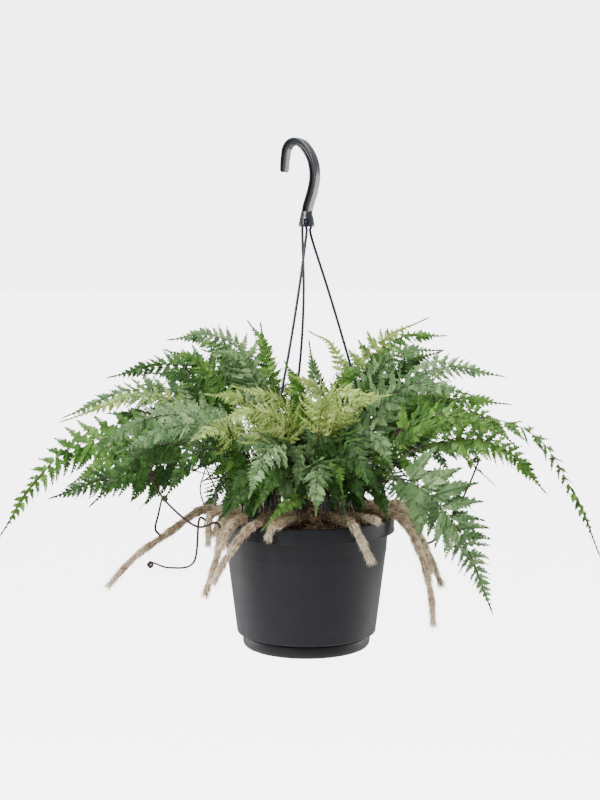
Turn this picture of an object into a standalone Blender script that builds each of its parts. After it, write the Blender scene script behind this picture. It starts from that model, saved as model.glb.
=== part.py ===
"""A hare's-foot fern in a moulded hanging pot, for Blender 4.5.

Run it with: blender --background --python part.py
Units are metres and degrees, +Z is up. The origin is the seat under the arch of the hook,
where a rail carries the pot. Everything is drawn on the pot's own axis with heights taken
from the rim, and one empty carries all of it to its place under the hook.
"""

import math

import bmesh
import bpy
from mathutils import Matrix, Vector

# ---- Pot, saucer and potting mix (heights are taken from the top of the rim) ----
POT_HEIGHT = 0.1425  # underside of the saucer to the top of the rim
RIM_RADIUS = 0.0950  # outside of the rim
RIM_BAND = 0.0158  # height of the band that hangs from the rim
RIM_PLATE = 0.0018
BAND_WALL = 0.0015
WALL = 0.0018
WALL_INSET = 0.0062  # the wall's top stands this far inside the rim's edge
WALL_FOOT_RATIO = 0.792  # wall radius above the step, as a share of the rim's
FOOT_RATIO = 0.727  # saucer radius, as a share of the rim's
SAUCER_HEIGHT = 0.0133
SAUCER_WALL = 0.0020
SAUCER_FLOOR = 0.0020
SAUCER_CORNER = 0.0060
POT_FLOOR = 0.0020
RESERVOIR = 0.0040  # air between the saucer's floor and the pot's
SHOULDER = 0.0030  # height of the step between foot and wall
POST_RADIUS = 0.0050  # snap post of the saucer, through the pot's floor
POST_HEAD = 0.0016  # its head stands out this much
DRAIN_RADIUS = 0.0040
DRAIN_RATIO = 0.46  # circle of the drain holes, as a share of the rim radius
DRAIN_COUNT = 6
CLEARANCE = 0.0003  # between two pieces that meet
MIX_EDGE_DEPTH = 0.0120  # the mix lies this far under the rim, at the wall
MIX_MOUND = 0.0030  # and rises this far above the rim in the middle
SEGMENTS = 40

# ---- Hanger ----
EAR_AZIMUTHS = (-8.0, 112.0, 232.0)
EAR_WIDTH = 0.0100
EAR_DEPTH = 0.0030
EAR_INSET = 0.0042  # inner face of an ear, from the rim's edge
PEG_HEIGHT = 0.0056  # centre of the hole in an ear, above the rim
EAR_ABOVE_PEG = 0.0046
STRAND_RADIUS = 0.00135
CLIP_RADIUS = 0.0021  # thickened lower end of a strand
CLIP_LENGTH = 0.0130
BUTTON_RADIUS = 0.0030
STRAND_HEAD = 0.0021
COLLAR_ABOVE_RIM = 0.3090
COLLAR_RADIUS = 0.0087
COLLAR_NECK = 0.0060
COLLAR_LENGTH = 0.0170
COLLAR_PLATE = 0.0028
SOCKET_CIRCLE = 0.0054
SOCKET_AZIMUTHS = (25.0, 145.0, 265.0)
POCKET_TOP = 0.0085  # top of the pocket over each slot
POCKET_WIDTH = 0.0050
# How far each strand bellies out of the straight, to the right and to the back.
STRAND_BOWS = ((0.0030, 0.0010), (0.0110, 0.0030), (0.0045, 0.0030))
HOOK_AZIMUTH = -35.0  # of the hook's back, seen from above
HOOK_THICK = 0.0082  # of the I-shaped section, in the plane of the hook
HOOK_WIDTH = 0.0099
FLANGE = 0.0018
WEB = 0.0030
HOOK_TIP_SCALE = 0.82
# Centre line of the hook from the collar up and over: towards its back, above the collar.
HOOK_LINE = (
    (0.0000, 0.0130),
    (0.0022, 0.0225),
    (0.0080, 0.0390),
    (0.0106, 0.0550),
    (0.0068, 0.0720),
    (-0.0040, 0.0862),
    (-0.0157, 0.0902),
    (-0.0247, 0.0845),
    (-0.0278, 0.0710),
    (-0.0290, 0.0580),
)
HOOK_APEX = 6  # the point of the line above the seat

# ---- Fern, drawn for a rim radius of 95 mm and scaled with the rim ----
PLANT = RIM_RADIUS / 0.095
RHIZOME_RADIUS = 0.0050
RHIZOME_START = 0.0360 * PLANT  # radius on the mix where the rhizomes begin
STALK_RADIUS = 0.0010
BLADE_THICKNESS = 0.0009
BLADE_DROOP = 0.14  # a blade's edges hang by this share of its half width
CROZIER_RADIUS = 0.0008
CURL_RADIUS = 0.0031

# Rhizomes: azimuth on the mix, azimuth where the rim is crossed, then points beyond the rim
# as azimuth, distance of the rhizome's skin out from the rim and height above the rim.
RHIZOMES = {
    "left_long": (
        174,
        177,
        (
            (178, 0.017, 0.003),
            (180, 0.045, -0.017),
            (180, 0.079, -0.041),
            (180, 0.099, -0.060),
            (180, 0.115, -0.079),
        ),
    ),
    "left_short": (194, 192, ((191, 0.005, 0.000), (190, 0.007, -0.030))),
    "front_left_short": (214, 212, ((213, 0.007, -0.004), (216, 0.015, -0.026))),
    "front_left_long": (
        234,
        222.5,
        ((221, 0.013, -0.008), (220, 0.024, -0.038), (219, 0.035, -0.070)),
    ),
    "front_inner": (272, 254, ()),
    "front_right": (295, 298, ((301, 0.003, -0.006), (308, 0.007, -0.034))),
    "right_stub": (315, 316, ()),
    "right_long": (
        338,
        340,
        ((342, 0.010, -0.004), (346, 0.026, -0.040), (349, 0.035, -0.080), (350, 0.038, -0.116)),
    ),
    "right_mid": (0, 4, ((4, 0.009, -0.004), (2, 0.029, -0.036), (0, 0.047, -0.078))),
    "right_back": (23, 25, ((25, 0.015, 0.004), (24, 0.035, -0.003), (23, 0.041, -0.019))),
    "back_right": (52, 50, ((49, 0.007, -0.005), (47, 0.019, -0.048))),
    "back": (84, 85, ((86, 0.006, -0.008), (87, 0.013, -0.042))),
    "back_left": (142, 143, ((144, 0.011, -0.004), (146, 0.027, -0.036))),
}

# Fronds: rhizome, share of its length where the frond grows, half width, bare share of the
# spine, lean of the leaf's face from upwards to the front in degrees, colour, and points
# along the spine (right, back, above rim).
FRONDS = {
    "left_long": (
        "left_long", 0.16, 0.041, 0.42, 60, "mid",
        (
            (-0.130, -0.012, 0.085), (-0.235, -0.010, 0.080), (-0.290, 0.000, 0.038),
            (-0.329, 0.000, -0.020),
        ),
    ),
    "left_blue": (
        "left_long", 0.24, 0.037, 0.45, 50, "blue",
        ((-0.120, 0.050, 0.110), (-0.190, 0.055, 0.130), (-0.266, 0.050, 0.101)),
    ),
    "left_low": (
        "left_short", 0.30, 0.041, 0.45, 70, "dark",
        ((-0.115, -0.045, 0.060), (-0.185, -0.064, 0.056), (-0.262, -0.076, 0.031)),
    ),
    "left_back": (
        "back_left", 0.30, 0.041, 0.45, 35, "blue",
        ((-0.125, 0.085, 0.078), (-0.200, 0.100, 0.076), (-0.272, 0.110, 0.045)),
    ),
    "left_high_back": (
        "back_left", 0.22, 0.039, 0.45, 40, "mid",
        ((-0.100, 0.100, 0.110), (-0.170, 0.135, 0.120), (-0.240, 0.165, 0.104)),
    ),
    "left_high": (
        "left_short", 0.10, 0.037, 0.45, 75, "dark",
        ((-0.090, 0.020, 0.140), (-0.150, 0.030, 0.160), (-0.214, 0.040, 0.146)),
    ),
    "left_top": (
        "left_long", 0.02, 0.032, 0.50, 75, "blue",
        ((-0.062, 0.030, 0.155), (-0.100, 0.045, 0.190), (-0.150, 0.055, 0.186)),
    ),
    "back_left_top": (
        "back_left", 0.12, 0.032, 0.50, 60, "mid",
        ((-0.074, 0.082, 0.140), (-0.102, 0.118, 0.172), (-0.134, 0.158, 0.180)),
    ),
    "middle_top": (
        "back_left", 0.02, 0.022, 0.50, 65, "mid",
        ((-0.038, 0.060, 0.130), (-0.048, 0.084, 0.178), (-0.066, 0.114, 0.203)),
    ),
    "middle_upright": (
        "front_left_short", 0.04, 0.017, 0.60, 75, "mid",
        ((-0.036, -0.005, 0.110), (-0.042, 0.000, 0.160), (-0.049, 0.005, 0.205)),
    ),
    "centre_young_left": (
        "front_left_long", 0.04, 0.024, 0.50, 50, "young",
        ((-0.014, -0.060, 0.085), (-0.030, -0.092, 0.132), (-0.073, -0.122, 0.150)),
    ),
    "centre_young_right": (
        "front_inner", 0.04, 0.028, 0.50, 50, "young",
        ((0.010, -0.056, 0.100), (0.028, -0.088, 0.140), (0.060, -0.124, 0.142)),
    ),
    "centre_young_low": (
        "front_left_short", 0.30, 0.026, 0.50, 50, "young",
        ((-0.066, -0.072, 0.075), (-0.088, -0.110, 0.106), (-0.112, -0.150, 0.100)),
    ),
    "front_grey": (
        "front_left_long", 0.22, 0.031, 0.45, 60, "blue",
        ((-0.026, -0.090, 0.082), (-0.042, -0.132, 0.084), (-0.056, -0.172, 0.048)),
    ),
    "front_hanging": (
        "front_inner", 0.20, 0.021, 0.45, 60, "blue",
        ((0.010, -0.080, 0.066), (0.010, -0.108, 0.060), (0.009, -0.120, 0.022)),
    ),
    "front_leaf": (
        "front_inner", 0.45, 0.013, 0.35, 60, "mid",
        ((-0.006, -0.090, 0.034), (-0.024, -0.108, 0.026), (-0.044, -0.118, 0.006)),
    ),
    "front_small": (
        "front_right", 0.10, 0.010, 0.45, 60, "dark",
        ((0.030, -0.070, 0.040), (0.036, -0.086, 0.034), (0.040, -0.096, 0.010)),
    ),
    "front_dark": (
        "front_right", 0.02, 0.027, 0.45, 35, "dark",
        ((0.028, -0.080, 0.090), (0.044, -0.122, 0.096), (0.058, -0.158, 0.060)),
    ),
    "right_rising": (
        "right_back", 0.02, 0.018, 0.50, 65, "young",
        ((0.040, 0.020, 0.135), (0.078, 0.024, 0.184), (0.130, 0.030, 0.210)),
    ),
    "middle_back_light": (
        "back_right", 0.02, 0.018, 0.50, 65, "young",
        ((0.040, 0.045, 0.130), (0.030, 0.056, 0.176), (0.004, 0.068, 0.194)),
    ),
    "right_blue": (
        "right_back", 0.12, 0.041, 0.42, 55, "blue",
        ((0.085, 0.035, 0.120), (0.145, 0.045, 0.156), (0.214, 0.050, 0.146)),
    ),
    "right_back_top": (
        "back_right", 0.10, 0.037, 0.45, 60, "mid",
        ((0.060, 0.085, 0.140), (0.100, 0.120, 0.182), (0.162, 0.160, 0.184)),
    ),
    "right_drooping": (
        "right_mid", 0.16, 0.027, 0.50, 20, "mid",
        (
            (0.105, 0.000, 0.092), (0.180, 0.002, 0.106), (0.248, 0.004, 0.084),
            (0.290, 0.002, 0.020), (0.316, 0.000, -0.041),
        ),
    ),
    "right_low": (
        "right_long", 0.16, 0.032, 0.50, 50, "mid",
        ((0.095, -0.045, 0.066), (0.155, -0.056, 0.090), (0.205, -0.062, 0.080), (0.246, -0.066, 0.036)),
    ),
    "right_front": (
        "right_stub", 0.50, 0.049, 0.36, 80, "blue",
        (
            (0.090, -0.080, 0.050), (0.124, -0.090, 0.040), (0.158, -0.096, -0.006),
            (0.188, -0.100, -0.080),
        ),
    ),
    "right_dark": (
        "right_back", 0.30, 0.027, 0.50, 60, "dark",
        ((0.110, 0.055, 0.070), (0.140, 0.066, 0.085), (0.176, 0.076, 0.090)),
    ),
    "back_long": (
        "back", 0.16, 0.044, 0.42, -20, "mid",
        ((0.008, 0.130, 0.090), (0.000, 0.190, 0.100), (-0.012, 0.255, 0.060)),
    ),
    "back_right_long": (
        "back_right", 0.30, 0.044, 0.42, -15, "blue",
        ((0.085, 0.115, 0.080), (0.130, 0.170, 0.094), (0.180, 0.225, 0.056)),
    ),
    "back_left_long": (
        "back_left", 0.45, 0.041, 0.45, -15, "dark",
        ((-0.090, 0.120, 0.056), (-0.125, 0.180, 0.070), (-0.165, 0.235, 0.040)),
    ),
}

# Croziers, the young fronds still curled: rhizome, share, points along the stalk, and the
# way the curl turns (1 or -1).
CROZIERS = {
    "left_upright": (
        "left_long", 0.62, 1,
        ((-0.160, 0.000, 0.000), (-0.156, 0.000, 0.018)),
    ),
    "left_hanging": (
        "left_short", 0.75, -1,
        ((-0.120, -0.028, -0.046), (-0.145, -0.030, -0.052), (-0.165, -0.030, -0.046)),
    ),
    "left_tall": (
        "front_left_short", 0.75, 1,
        ((-0.115, -0.070, 0.000), (-0.145, -0.070, 0.025), (-0.162, -0.070, 0.052)),
    ),
    "right_tall": (
        "right_mid", 0.70, -1,
        ((0.152, -0.010, -0.010), (0.172, -0.012, 0.030), (0.184, -0.012, 0.060)),
    ),
    "right_upright": (
        "right_long", 0.05, 1,
        ((0.062, -0.022, 0.040), (0.080, -0.026, 0.070), (0.096, -0.028, 0.096)),
    ),
}

# Colour, roughness and metal of each material.
FINISHES = {
    "pot_plastic": ((0.045, 0.045, 0.050), 0.62, 0.0),
    "saucer_plastic": ((0.042, 0.042, 0.047), 0.60, 0.0),
    "hanger_plastic": ((0.020, 0.022, 0.026), 0.38, 0.0),
    "potting_mix": ((0.090, 0.055, 0.032), 0.95, 0.0),
    "rhizome_fur": ((0.430, 0.320, 0.200), 0.90, 0.0),
    "crozier_stalk": ((0.075, 0.030, 0.018), 0.55, 0.0),
    "frond_mid": ((0.100, 0.220, 0.055), 0.60, 0.0),
    "frond_blue": ((0.140, 0.250, 0.150), 0.62, 0.0),
    "frond_dark": ((0.055, 0.130, 0.045), 0.58, 0.0),
    "frond_young": ((0.300, 0.420, 0.100), 0.60, 0.0),
}


def finish(slot):
    material = bpy.data.materials.get(slot)
    if material is None:
        colour, roughness, metallic = FINISHES[slot]
        material = bpy.data.materials.new(slot)
        material.use_nodes = True
        shader = material.node_tree.nodes["Principled BSDF"]
        shader.inputs["Base Color"].default_value = (*colour, 1.0)
        shader.inputs["Roughness"].default_value = roughness
        shader.inputs["Metallic"].default_value = metallic
        material.diffuse_color = (*colour, 1.0)
    return material


def polar(azimuth, radius, height):
    angle = math.radians(azimuth)
    return Vector((radius * math.cos(angle), radius * math.sin(angle), height))


def add_object(name, verts, faces, slot, crease=35.0):
    mesh = bpy.data.meshes.new(name)
    mesh.from_pydata([tuple(v) for v in verts], [], faces)
    work = bmesh.new()
    work.from_mesh(mesh)
    bmesh.ops.recalc_face_normals(work, faces=work.faces)
    for face in work.faces:
        face.smooth = True
    for edge in work.edges:
        if len(edge.link_faces) == 2 and edge.calc_face_angle() > math.radians(crease):
            edge.smooth = False
    work.to_mesh(mesh)
    work.free()
    mesh.materials.append(finish(slot))
    thing = bpy.data.objects.new(name, mesh)
    bpy.context.collection.objects.link(thing)
    return thing


def lathe(name, profile, slot, segments=SEGMENTS, closed=False):
    """Turn (radius, height) points about the axis; a radius of zero is a pole."""
    verts = []
    rings = []
    for radius, height in profile:
        if radius <= 0.0:
            rings.append([len(verts)])
            verts.append((0.0, 0.0, height))
            continue
        rings.append(list(range(len(verts), len(verts) + segments)))
        verts.extend(polar(360.0 * k / segments, radius, height) for k in range(segments))
    pairs = list(zip(rings, rings[1:]))
    if closed:
        pairs.append((rings[-1], rings[0]))
    faces = []
    for low, high in pairs:
        for k in range(segments):
            n = (k + 1) % segments
            if len(low) == 1:
                faces.append((low[0], high[n], high[k]))
            elif len(high) == 1:
                faces.append((low[k], low[n], high[0]))
            else:
                faces.append((low[k], low[n], high[n], high[k]))
    return add_object(name, verts, faces, slot)


def loft(name, rings, slot, crease=35.0):
    """Join rings of equal count into one closed body with flat ends."""
    count = len(rings[0])
    verts = [point for ring in rings for point in ring]
    faces = [tuple(range(count))]
    for r in range(len(rings) - 1):
        for k in range(count):
            n = (k + 1) % count
            base = r * count
            faces.append((base + k, base + n, base + count + n, base + count + k))
    faces.append(tuple(range(len(verts) - count, len(verts))))
    return add_object(name, verts, faces, slot, crease)


def smooth_line(points, count):
    """A Catmull-Rom curve through the points, cut into equal steps."""
    points = [Vector(p) for p in points]
    ends = [points[0] * 2 - points[1]] + points + [points[-1] * 2 - points[-2]]
    fine = []
    for i in range(len(points) - 1):
        a, b, c, d = ends[i : i + 4]
        for step in range(24):
            t = step / 24
            fine.append(
                0.5
                * (
                    2 * b
                    + (c - a) * t
                    + (2 * a - 5 * b + 4 * c - d) * t * t
                    + (3 * b - a - 3 * c + d) * t ** 3
                )
            )
    fine.append(points[-1])
    return even_steps(fine, count)


def even_steps(fine, count):
    lengths = [0.0]
    for a, b in zip(fine, fine[1:]):
        lengths.append(lengths[-1] + (b - a).length)
    line = []
    i = 0
    for k in range(count):
        target = lengths[-1] * k / (count - 1)
        while i < len(fine) - 2 and lengths[i + 1] < target:
            i += 1
        span = max(lengths[i + 1] - lengths[i], 1e-9)
        line.append(fine[i].lerp(fine[i + 1], min(1.0, (target - lengths[i]) / span)))
    return line


def frames(line, side):
    """A side and a lift direction at every point, kept square to the line."""
    result = []
    for i in range(len(line)):
        ahead = line[min(i + 1, len(line) - 1)] - line[max(i - 1, 0)]
        ahead.normalize()
        across = side - ahead * side.dot(ahead)
        across.normalize()
        side = across
        result.append((ahead, across, ahead.cross(across)))
    return result


def triangulated(thing):
    """Split a body's twisted faces into flat triangles."""
    mesh = bmesh.new()
    mesh.from_mesh(thing.data)
    bmesh.ops.triangulate(mesh, faces=mesh.faces[:])
    mesh.to_mesh(thing.data)
    mesh.free()
    return thing


def tube(name, line, radii, slot, sides=8, side=Vector((0.0, 1.0, 0.0))):
    rings = []
    for point, radius, frame in zip(line, radii, frames(line, side)):
        ring = []
        for k in range(sides):
            turn = 2.0 * math.pi * k / sides
            ring.append(point + (frame[1] * math.cos(turn) + frame[2] * math.sin(turn)) * radius)
        rings.append(ring)
    return loft(name, rings, slot, 60.0)


def cut(target, tool, operation="DIFFERENCE"):
    tool.hide_render = True
    tool.display_type = "WIRE"
    step = target.modifiers.new(operation.lower(), "BOOLEAN")
    step.operation = operation
    step.solver = "EXACT"
    step.object = tool
    bpy.context.view_layer.update()
    graph = bpy.context.evaluated_depsgraph_get()
    mesh = bpy.data.meshes.new_from_object(target.evaluated_get(graph))
    target.modifiers.remove(step)
    target.data = mesh
    bpy.data.objects.remove(tool)


def block(name, size, centre, azimuth=0.0, slot="pot_plastic"):
    turn = Matrix.Rotation(math.radians(azimuth), 3, "Z")
    verts = []
    for x in (-0.5, 0.5):
        for y in (-0.5, 0.5):
            for z in (-0.5, 0.5):
                verts.append(turn @ Vector((x * size[0], y * size[1], z * size[2])) + centre)
    faces = [(0, 1, 3, 2), (4, 6, 7, 5), (0, 4, 5, 1), (2, 3, 7, 6), (0, 2, 6, 4), (1, 5, 7, 3)]
    return add_object(name, verts, faces, slot)


def rod(name, start, end, radius, sides=16, slot="pot_plastic"):
    side = Vector((0.0, 0.0, 1.0))
    if abs((end - start).normalized().z) > 0.9:
        side = Vector((1.0, 0.0, 0.0))
    return tube(name, [start, end], [radius, radius], slot, sides, side)


# ---- Pot, saucer, mix ----
FOOT = -POT_HEIGHT
WALL_TOP = RIM_RADIUS - WALL_INSET
WALL_FOOT = RIM_RADIUS * WALL_FOOT_RATIO
FOOT_RADIUS = RIM_RADIUS * FOOT_RATIO
BASE_RADIUS = FOOT_RADIUS - SAUCER_WALL - CLEARANCE
BASE_UNDERSIDE = FOOT + SAUCER_FLOOR + RESERVOIR
BASE_FLOOR = BASE_UNDERSIDE + POT_FLOOR
STEP_LOW = FOOT + SAUCER_HEIGHT + CLEARANCE
STEP_HIGH = STEP_LOW + SHOULDER
INNER_FOOT = WALL_FOOT - WALL
INNER_TOP = WALL_TOP - WALL
BASE_INNER = BASE_RADIUS - WALL
POST_HOLE = POST_RADIUS + CLEARANCE


def inner_wall(height):
    """Radius of the inside of the tapering wall at a height above the step."""
    share = (height - STEP_HIGH) / (-RIM_PLATE - STEP_HIGH)
    return INNER_FOOT + (INNER_TOP - INNER_FOOT) * share


def mix_height(radius):
    reach = inner_wall(-MIX_EDGE_DEPTH)
    return MIX_MOUND - (MIX_MOUND + MIX_EDGE_DEPTH) * min(1.0, radius / reach) ** 2.4


def build_pot():
    profile = [
        (POST_HOLE, BASE_UNDERSIDE),
        (BASE_RADIUS - 0.0025, BASE_UNDERSIDE),
        (BASE_RADIUS - 0.0008, BASE_UNDERSIDE + 0.0008),
        (BASE_RADIUS, BASE_UNDERSIDE + 0.0025),
        (BASE_RADIUS, STEP_LOW),
        (WALL_FOOT - 0.0014, STEP_HIGH - 0.0012),
        (WALL_FOOT, STEP_HIGH + 0.0008),
        (WALL_TOP, -RIM_PLATE),
        (RIM_RADIUS - BAND_WALL, -RIM_PLATE),
        (RIM_RADIUS - BAND_WALL, -RIM_BAND),
        (RIM_RADIUS - 0.0004, -RIM_BAND),
        (RIM_RADIUS, -RIM_BAND + 0.0004),
        (RIM_RADIUS, -0.0008),
        (RIM_RADIUS - 0.0008, 0.0),
        (INNER_TOP + 0.0007, 0.0),
        (INNER_TOP, -0.0007),
        (INNER_TOP, -RIM_PLATE),
        (INNER_FOOT, STEP_HIGH + 0.0016),
        (BASE_INNER, STEP_HIGH - 0.0004),
        (BASE_INNER, BASE_FLOOR + 0.0020),
        (BASE_INNER - 0.0020, BASE_FLOOR),
        (POST_HOLE, BASE_FLOOR),
    ]
    pot = lathe("pot", profile, "pot_plastic", closed=True)
    for k in range(DRAIN_COUNT):
        place = polar(360.0 * k / DRAIN_COUNT + 34.5, RIM_RADIUS * DRAIN_RATIO, BASE_UNDERSIDE - 0.004)
        drain = rod("drain", place, place + Vector((0.0, 0.0, 0.012)), DRAIN_RADIUS, 12)
        cut(pot, drain)
    for azimuth in EAR_AZIMUTHS:
        middle = RIM_RADIUS - EAR_INSET + EAR_DEPTH / 2
        top = PEG_HEIGHT + EAR_ABOVE_PEG
        rise = top + RIM_PLATE * 0.6
        ear = block(
            "ear",
            (EAR_DEPTH, EAR_WIDTH, rise),
            polar(azimuth, middle, top - rise / 2),
            azimuth,
        )
        hole = rod(
            "ear_hole",
            polar(azimuth, middle - 0.01, PEG_HEIGHT),
            polar(azimuth, middle + 0.01, PEG_HEIGHT),
            CLIP_RADIUS + CLEARANCE,
            12,
        )
        cut(ear, hole)
        cut(pot, ear, "UNION")
    return pot


def build_saucer():
    inside = FOOT_RADIUS - SAUCER_WALL
    floor = FOOT + SAUCER_FLOOR
    corner = []
    for k in range(4):
        turn = math.radians(90.0 * k / 3)
        corner.append(
            (
                FOOT_RADIUS - SAUCER_CORNER * (1.0 - math.sin(turn)),
                FOOT + SAUCER_CORNER * (1.0 - math.cos(turn)),
            )
        )
    head = BASE_FLOOR + CLEARANCE
    profile = [(0.0, FOOT)] + corner
    profile += [
        (FOOT_RADIUS, FOOT + SAUCER_HEIGHT - 0.0004),
        (FOOT_RADIUS - 0.0004, FOOT + SAUCER_HEIGHT),
        (inside, FOOT + SAUCER_HEIGHT),
        (inside, floor + 0.0035),
        (inside - 0.0035, floor),
        (POST_RADIUS, floor),
        (POST_RADIUS, head),
        (POST_RADIUS + POST_HEAD, head),
        (POST_RADIUS + POST_HEAD, head + 0.0008),
        (POST_RADIUS - 0.0012, head + 0.0032),
        (0.0, head + 0.0032),
    ]
    return lathe("drip_saucer", profile, "saucer_plastic")


def build_mix():
    gap = CLEARANCE
    head_top = BASE_FLOOR + CLEARANCE + 0.0032
    head_side = POST_RADIUS + POST_HEAD + gap
    edge = -MIX_EDGE_DEPTH
    reach = inner_wall(edge) - gap
    profile = [
        (0.0, head_top + gap),
        (head_side, head_top + gap),
        (head_side, BASE_FLOOR + gap),
        (BASE_INNER - 0.0020 - gap, BASE_FLOOR + gap),
        (BASE_INNER - gap, BASE_FLOOR + 0.0020 + gap),
        (BASE_INNER - gap, STEP_HIGH),
        (INNER_FOOT - gap, STEP_HIGH + 0.0020 + gap),
        (reach, edge),
    ]
    for share in (0.93, 0.82, 0.66, 0.45, 0.22):
        profile.append((reach * share, mix_height(reach * share)))
    profile.append((0.0, MIX_MOUND))
    return lathe("potting_mix", profile, "potting_mix")


# ---- Hanger ----
def hook_point(along, up):
    return polar(HOOK_AZIMUTH, 1.0, 0.0) * along + Vector((0.0, 0.0, COLLAR_ABOVE_RIM + up))


def build_hook():
    base = COLLAR_ABOVE_RIM
    profile = [
        (0.0, base),
        (COLLAR_RADIUS - 0.0006, base),
        (COLLAR_RADIUS, base + 0.0006),
        (COLLAR_RADIUS, base + COLLAR_PLATE),
        (COLLAR_NECK + 0.0014, base + COLLAR_LENGTH * 0.55),
        (COLLAR_NECK, base + COLLAR_LENGTH - 0.0010),
        (COLLAR_NECK - 0.0010, base + COLLAR_LENGTH),
        (0.0, base + COLLAR_LENGTH),
    ]
    hook = lathe("hanger_hook", profile, "hanger_plastic", 28)
    line = smooth_line([hook_point(*p) for p in HOOK_LINE], 24)
    across = polar(HOOK_AZIMUTH + 90.0, 1.0, 0.0)
    half = HOOK_THICK / 2
    wide = HOOK_WIDTH / 2
    thin = WEB / 2
    inner = half - FLANGE
    section = [
        (-half, -wide), (-inner, -wide), (-inner, -thin), (inner, -thin),
        (inner, -wide), (half, -wide), (half, wide), (inner, wide),
        (inner, thin), (-inner, thin), (-inner, wide), (-half, wide),
    ]
    rings = []
    for i, (point, frame) in enumerate(zip(line, frames(line, across))):
        size = 1.0 - (1.0 - HOOK_TIP_SCALE) * max(0.0, (i / (len(line) - 1) - 0.6) / 0.4)
        rings.append([point + (frame[2] * a + frame[1] * b) * size for a, b in section])
    arch = loft("arch", rings, "hanger_plastic", 30.0)
    cut(hook, arch, "UNION")
    for azimuth in SOCKET_AZIMUTHS:
        slot = block(
            "slot",
            (COLLAR_RADIUS, 2 * (STRAND_RADIUS + CLEARANCE), 0.008),
            polar(azimuth, SOCKET_CIRCLE - STRAND_RADIUS - CLEARANCE + COLLAR_RADIUS / 2, base),
            azimuth,
        )
        cut(hook, slot)
        depth = POCKET_TOP - COLLAR_PLATE
        pocket = block(
            "pocket",
            (COLLAR_RADIUS, POCKET_WIDTH, depth),
            polar(
                azimuth,
                SOCKET_CIRCLE - POCKET_WIDTH / 2 + COLLAR_RADIUS / 2,
                base + COLLAR_PLATE + depth / 2,
            ),
            azimuth,
        )
        cut(hook, pocket)
    return hook


def strand_line(index):
    """Centre line of a strand from its head in the collar to its button on the ear."""
    start = polar(SOCKET_AZIMUTHS[index], SOCKET_CIRCLE, COLLAR_ABOVE_RIM)
    azimuth = EAR_AZIMUTHS[index]
    inner = RIM_RADIUS - EAR_INSET - CLIP_RADIUS - CLEARANCE - 0.0012
    turn = 0.0034
    foot = polar(azimuth, inner, PEG_HEIGHT + turn + CLIP_LENGTH * 0.3)
    bow = Vector((*STRAND_BOWS[index], 0.0))
    top = start + Vector((0.0, 0.0, COLLAR_PLATE + CLEARANCE))
    low = start - Vector((0.0, 0.0, 0.010))
    middle = [low.lerp(foot, t) + bow * (4.0 * t * (1.0 - t)) for t in (0.2, 0.4, 0.6, 0.8)]
    line = [top, start, low] + middle + [foot]
    return line, foot, azimuth, inner, turn


def build_strand(index):
    line, foot, azimuth, inner, turn = strand_line(index)
    run = smooth_line(line[1:], 15)
    total = sum((b - a).length for a, b in zip(run, run[1:]))
    top = line[0]
    lift = Vector((0.0, 0.0, 1.0))
    spine = [top + lift * 0.0040, top + lift * 0.0034, top + lift * 0.0004, top - lift * 0.0001]
    radii = [STRAND_HEAD * 0.6, STRAND_HEAD, STRAND_HEAD, STRAND_RADIUS]
    done = 0.0
    for i, point in enumerate(run):
        if i:
            done += (point - run[i - 1]).length
        thick = max(0.0, 1.0 - (total - done) / CLIP_LENGTH)
        spine.append(point)
        radii.append(STRAND_RADIUS + (CLIP_RADIUS - STRAND_RADIUS) * thick)
    for k in range(5):
        bend = math.radians(90.0 * k / 4)
        spine.append(
            polar(
                azimuth,
                inner + turn * (1.0 - math.cos(bend)),
                PEG_HEIGHT + turn * (1.0 - math.sin(bend)),
            )
        )
        radii.append(CLIP_RADIUS)
    outside = RIM_RADIUS - EAR_INSET + EAR_DEPTH + CLEARANCE
    for reach, radius in (
        (outside, CLIP_RADIUS),
        (outside + 0.0001, BUTTON_RADIUS),
        (outside + 0.0010, BUTTON_RADIUS),
        (outside + 0.0020, BUTTON_RADIUS * 0.6),
    ):
        spine.append(polar(azimuth, reach, PEG_HEIGHT))
        radii.append(radius)
    side = polar(azimuth + 90.0, 1.0, 0.0)
    return tube("hanger_strand_%d" % (index + 1), spine, radii, "hanger_plastic", 7, side)


# ---- Rhizomes ----
def rhizome_line(name, count=14):
    start, crossing, beyond = RHIZOMES[name]
    points = []
    for share in (0.0, 0.45):
        radius = RHIZOME_START + (INNER_TOP - RHIZOME_START) * share
        azimuth = start + (crossing - start) * share
        height = mix_height(radius) + RHIZOME_RADIUS + CLEARANCE + 0.0012 + 0.006 * share
        points.append(polar(azimuth, radius, height))
    over = RHIZOME_RADIUS + CLEARANCE + 0.0009
    points.append(polar(crossing, INNER_TOP - 0.0010, over + 0.0002))
    points.append(polar(crossing, RIM_RADIUS, over - 0.0002))
    for azimuth, out, height in beyond:
        points.append(polar(azimuth, RIM_RADIUS + RHIZOME_RADIUS + out * PLANT, height * PLANT))
    if not beyond:
        points.append(polar(crossing, RIM_RADIUS + 0.006 * PLANT, over - 0.0010))
    return smooth_line(points, count)


def build_rhizome(name):
    line = rhizome_line(name)
    radii = []
    for i in range(len(line)):
        t = i / (len(line) - 1)
        radius = RHIZOME_RADIUS * (0.80 + 0.20 * min(1.0, t / 0.15))
        if t > 0.6:
            radius = RHIZOME_RADIUS * (1.0 - 0.35 * (t - 0.6) / 0.4)
        if i == len(line) - 1:
            radius = RHIZOME_RADIUS * 0.30
        radii.append(radius)
    return tube("rhizome_" + name, line, radii, "rhizome_fur", 7)


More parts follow.
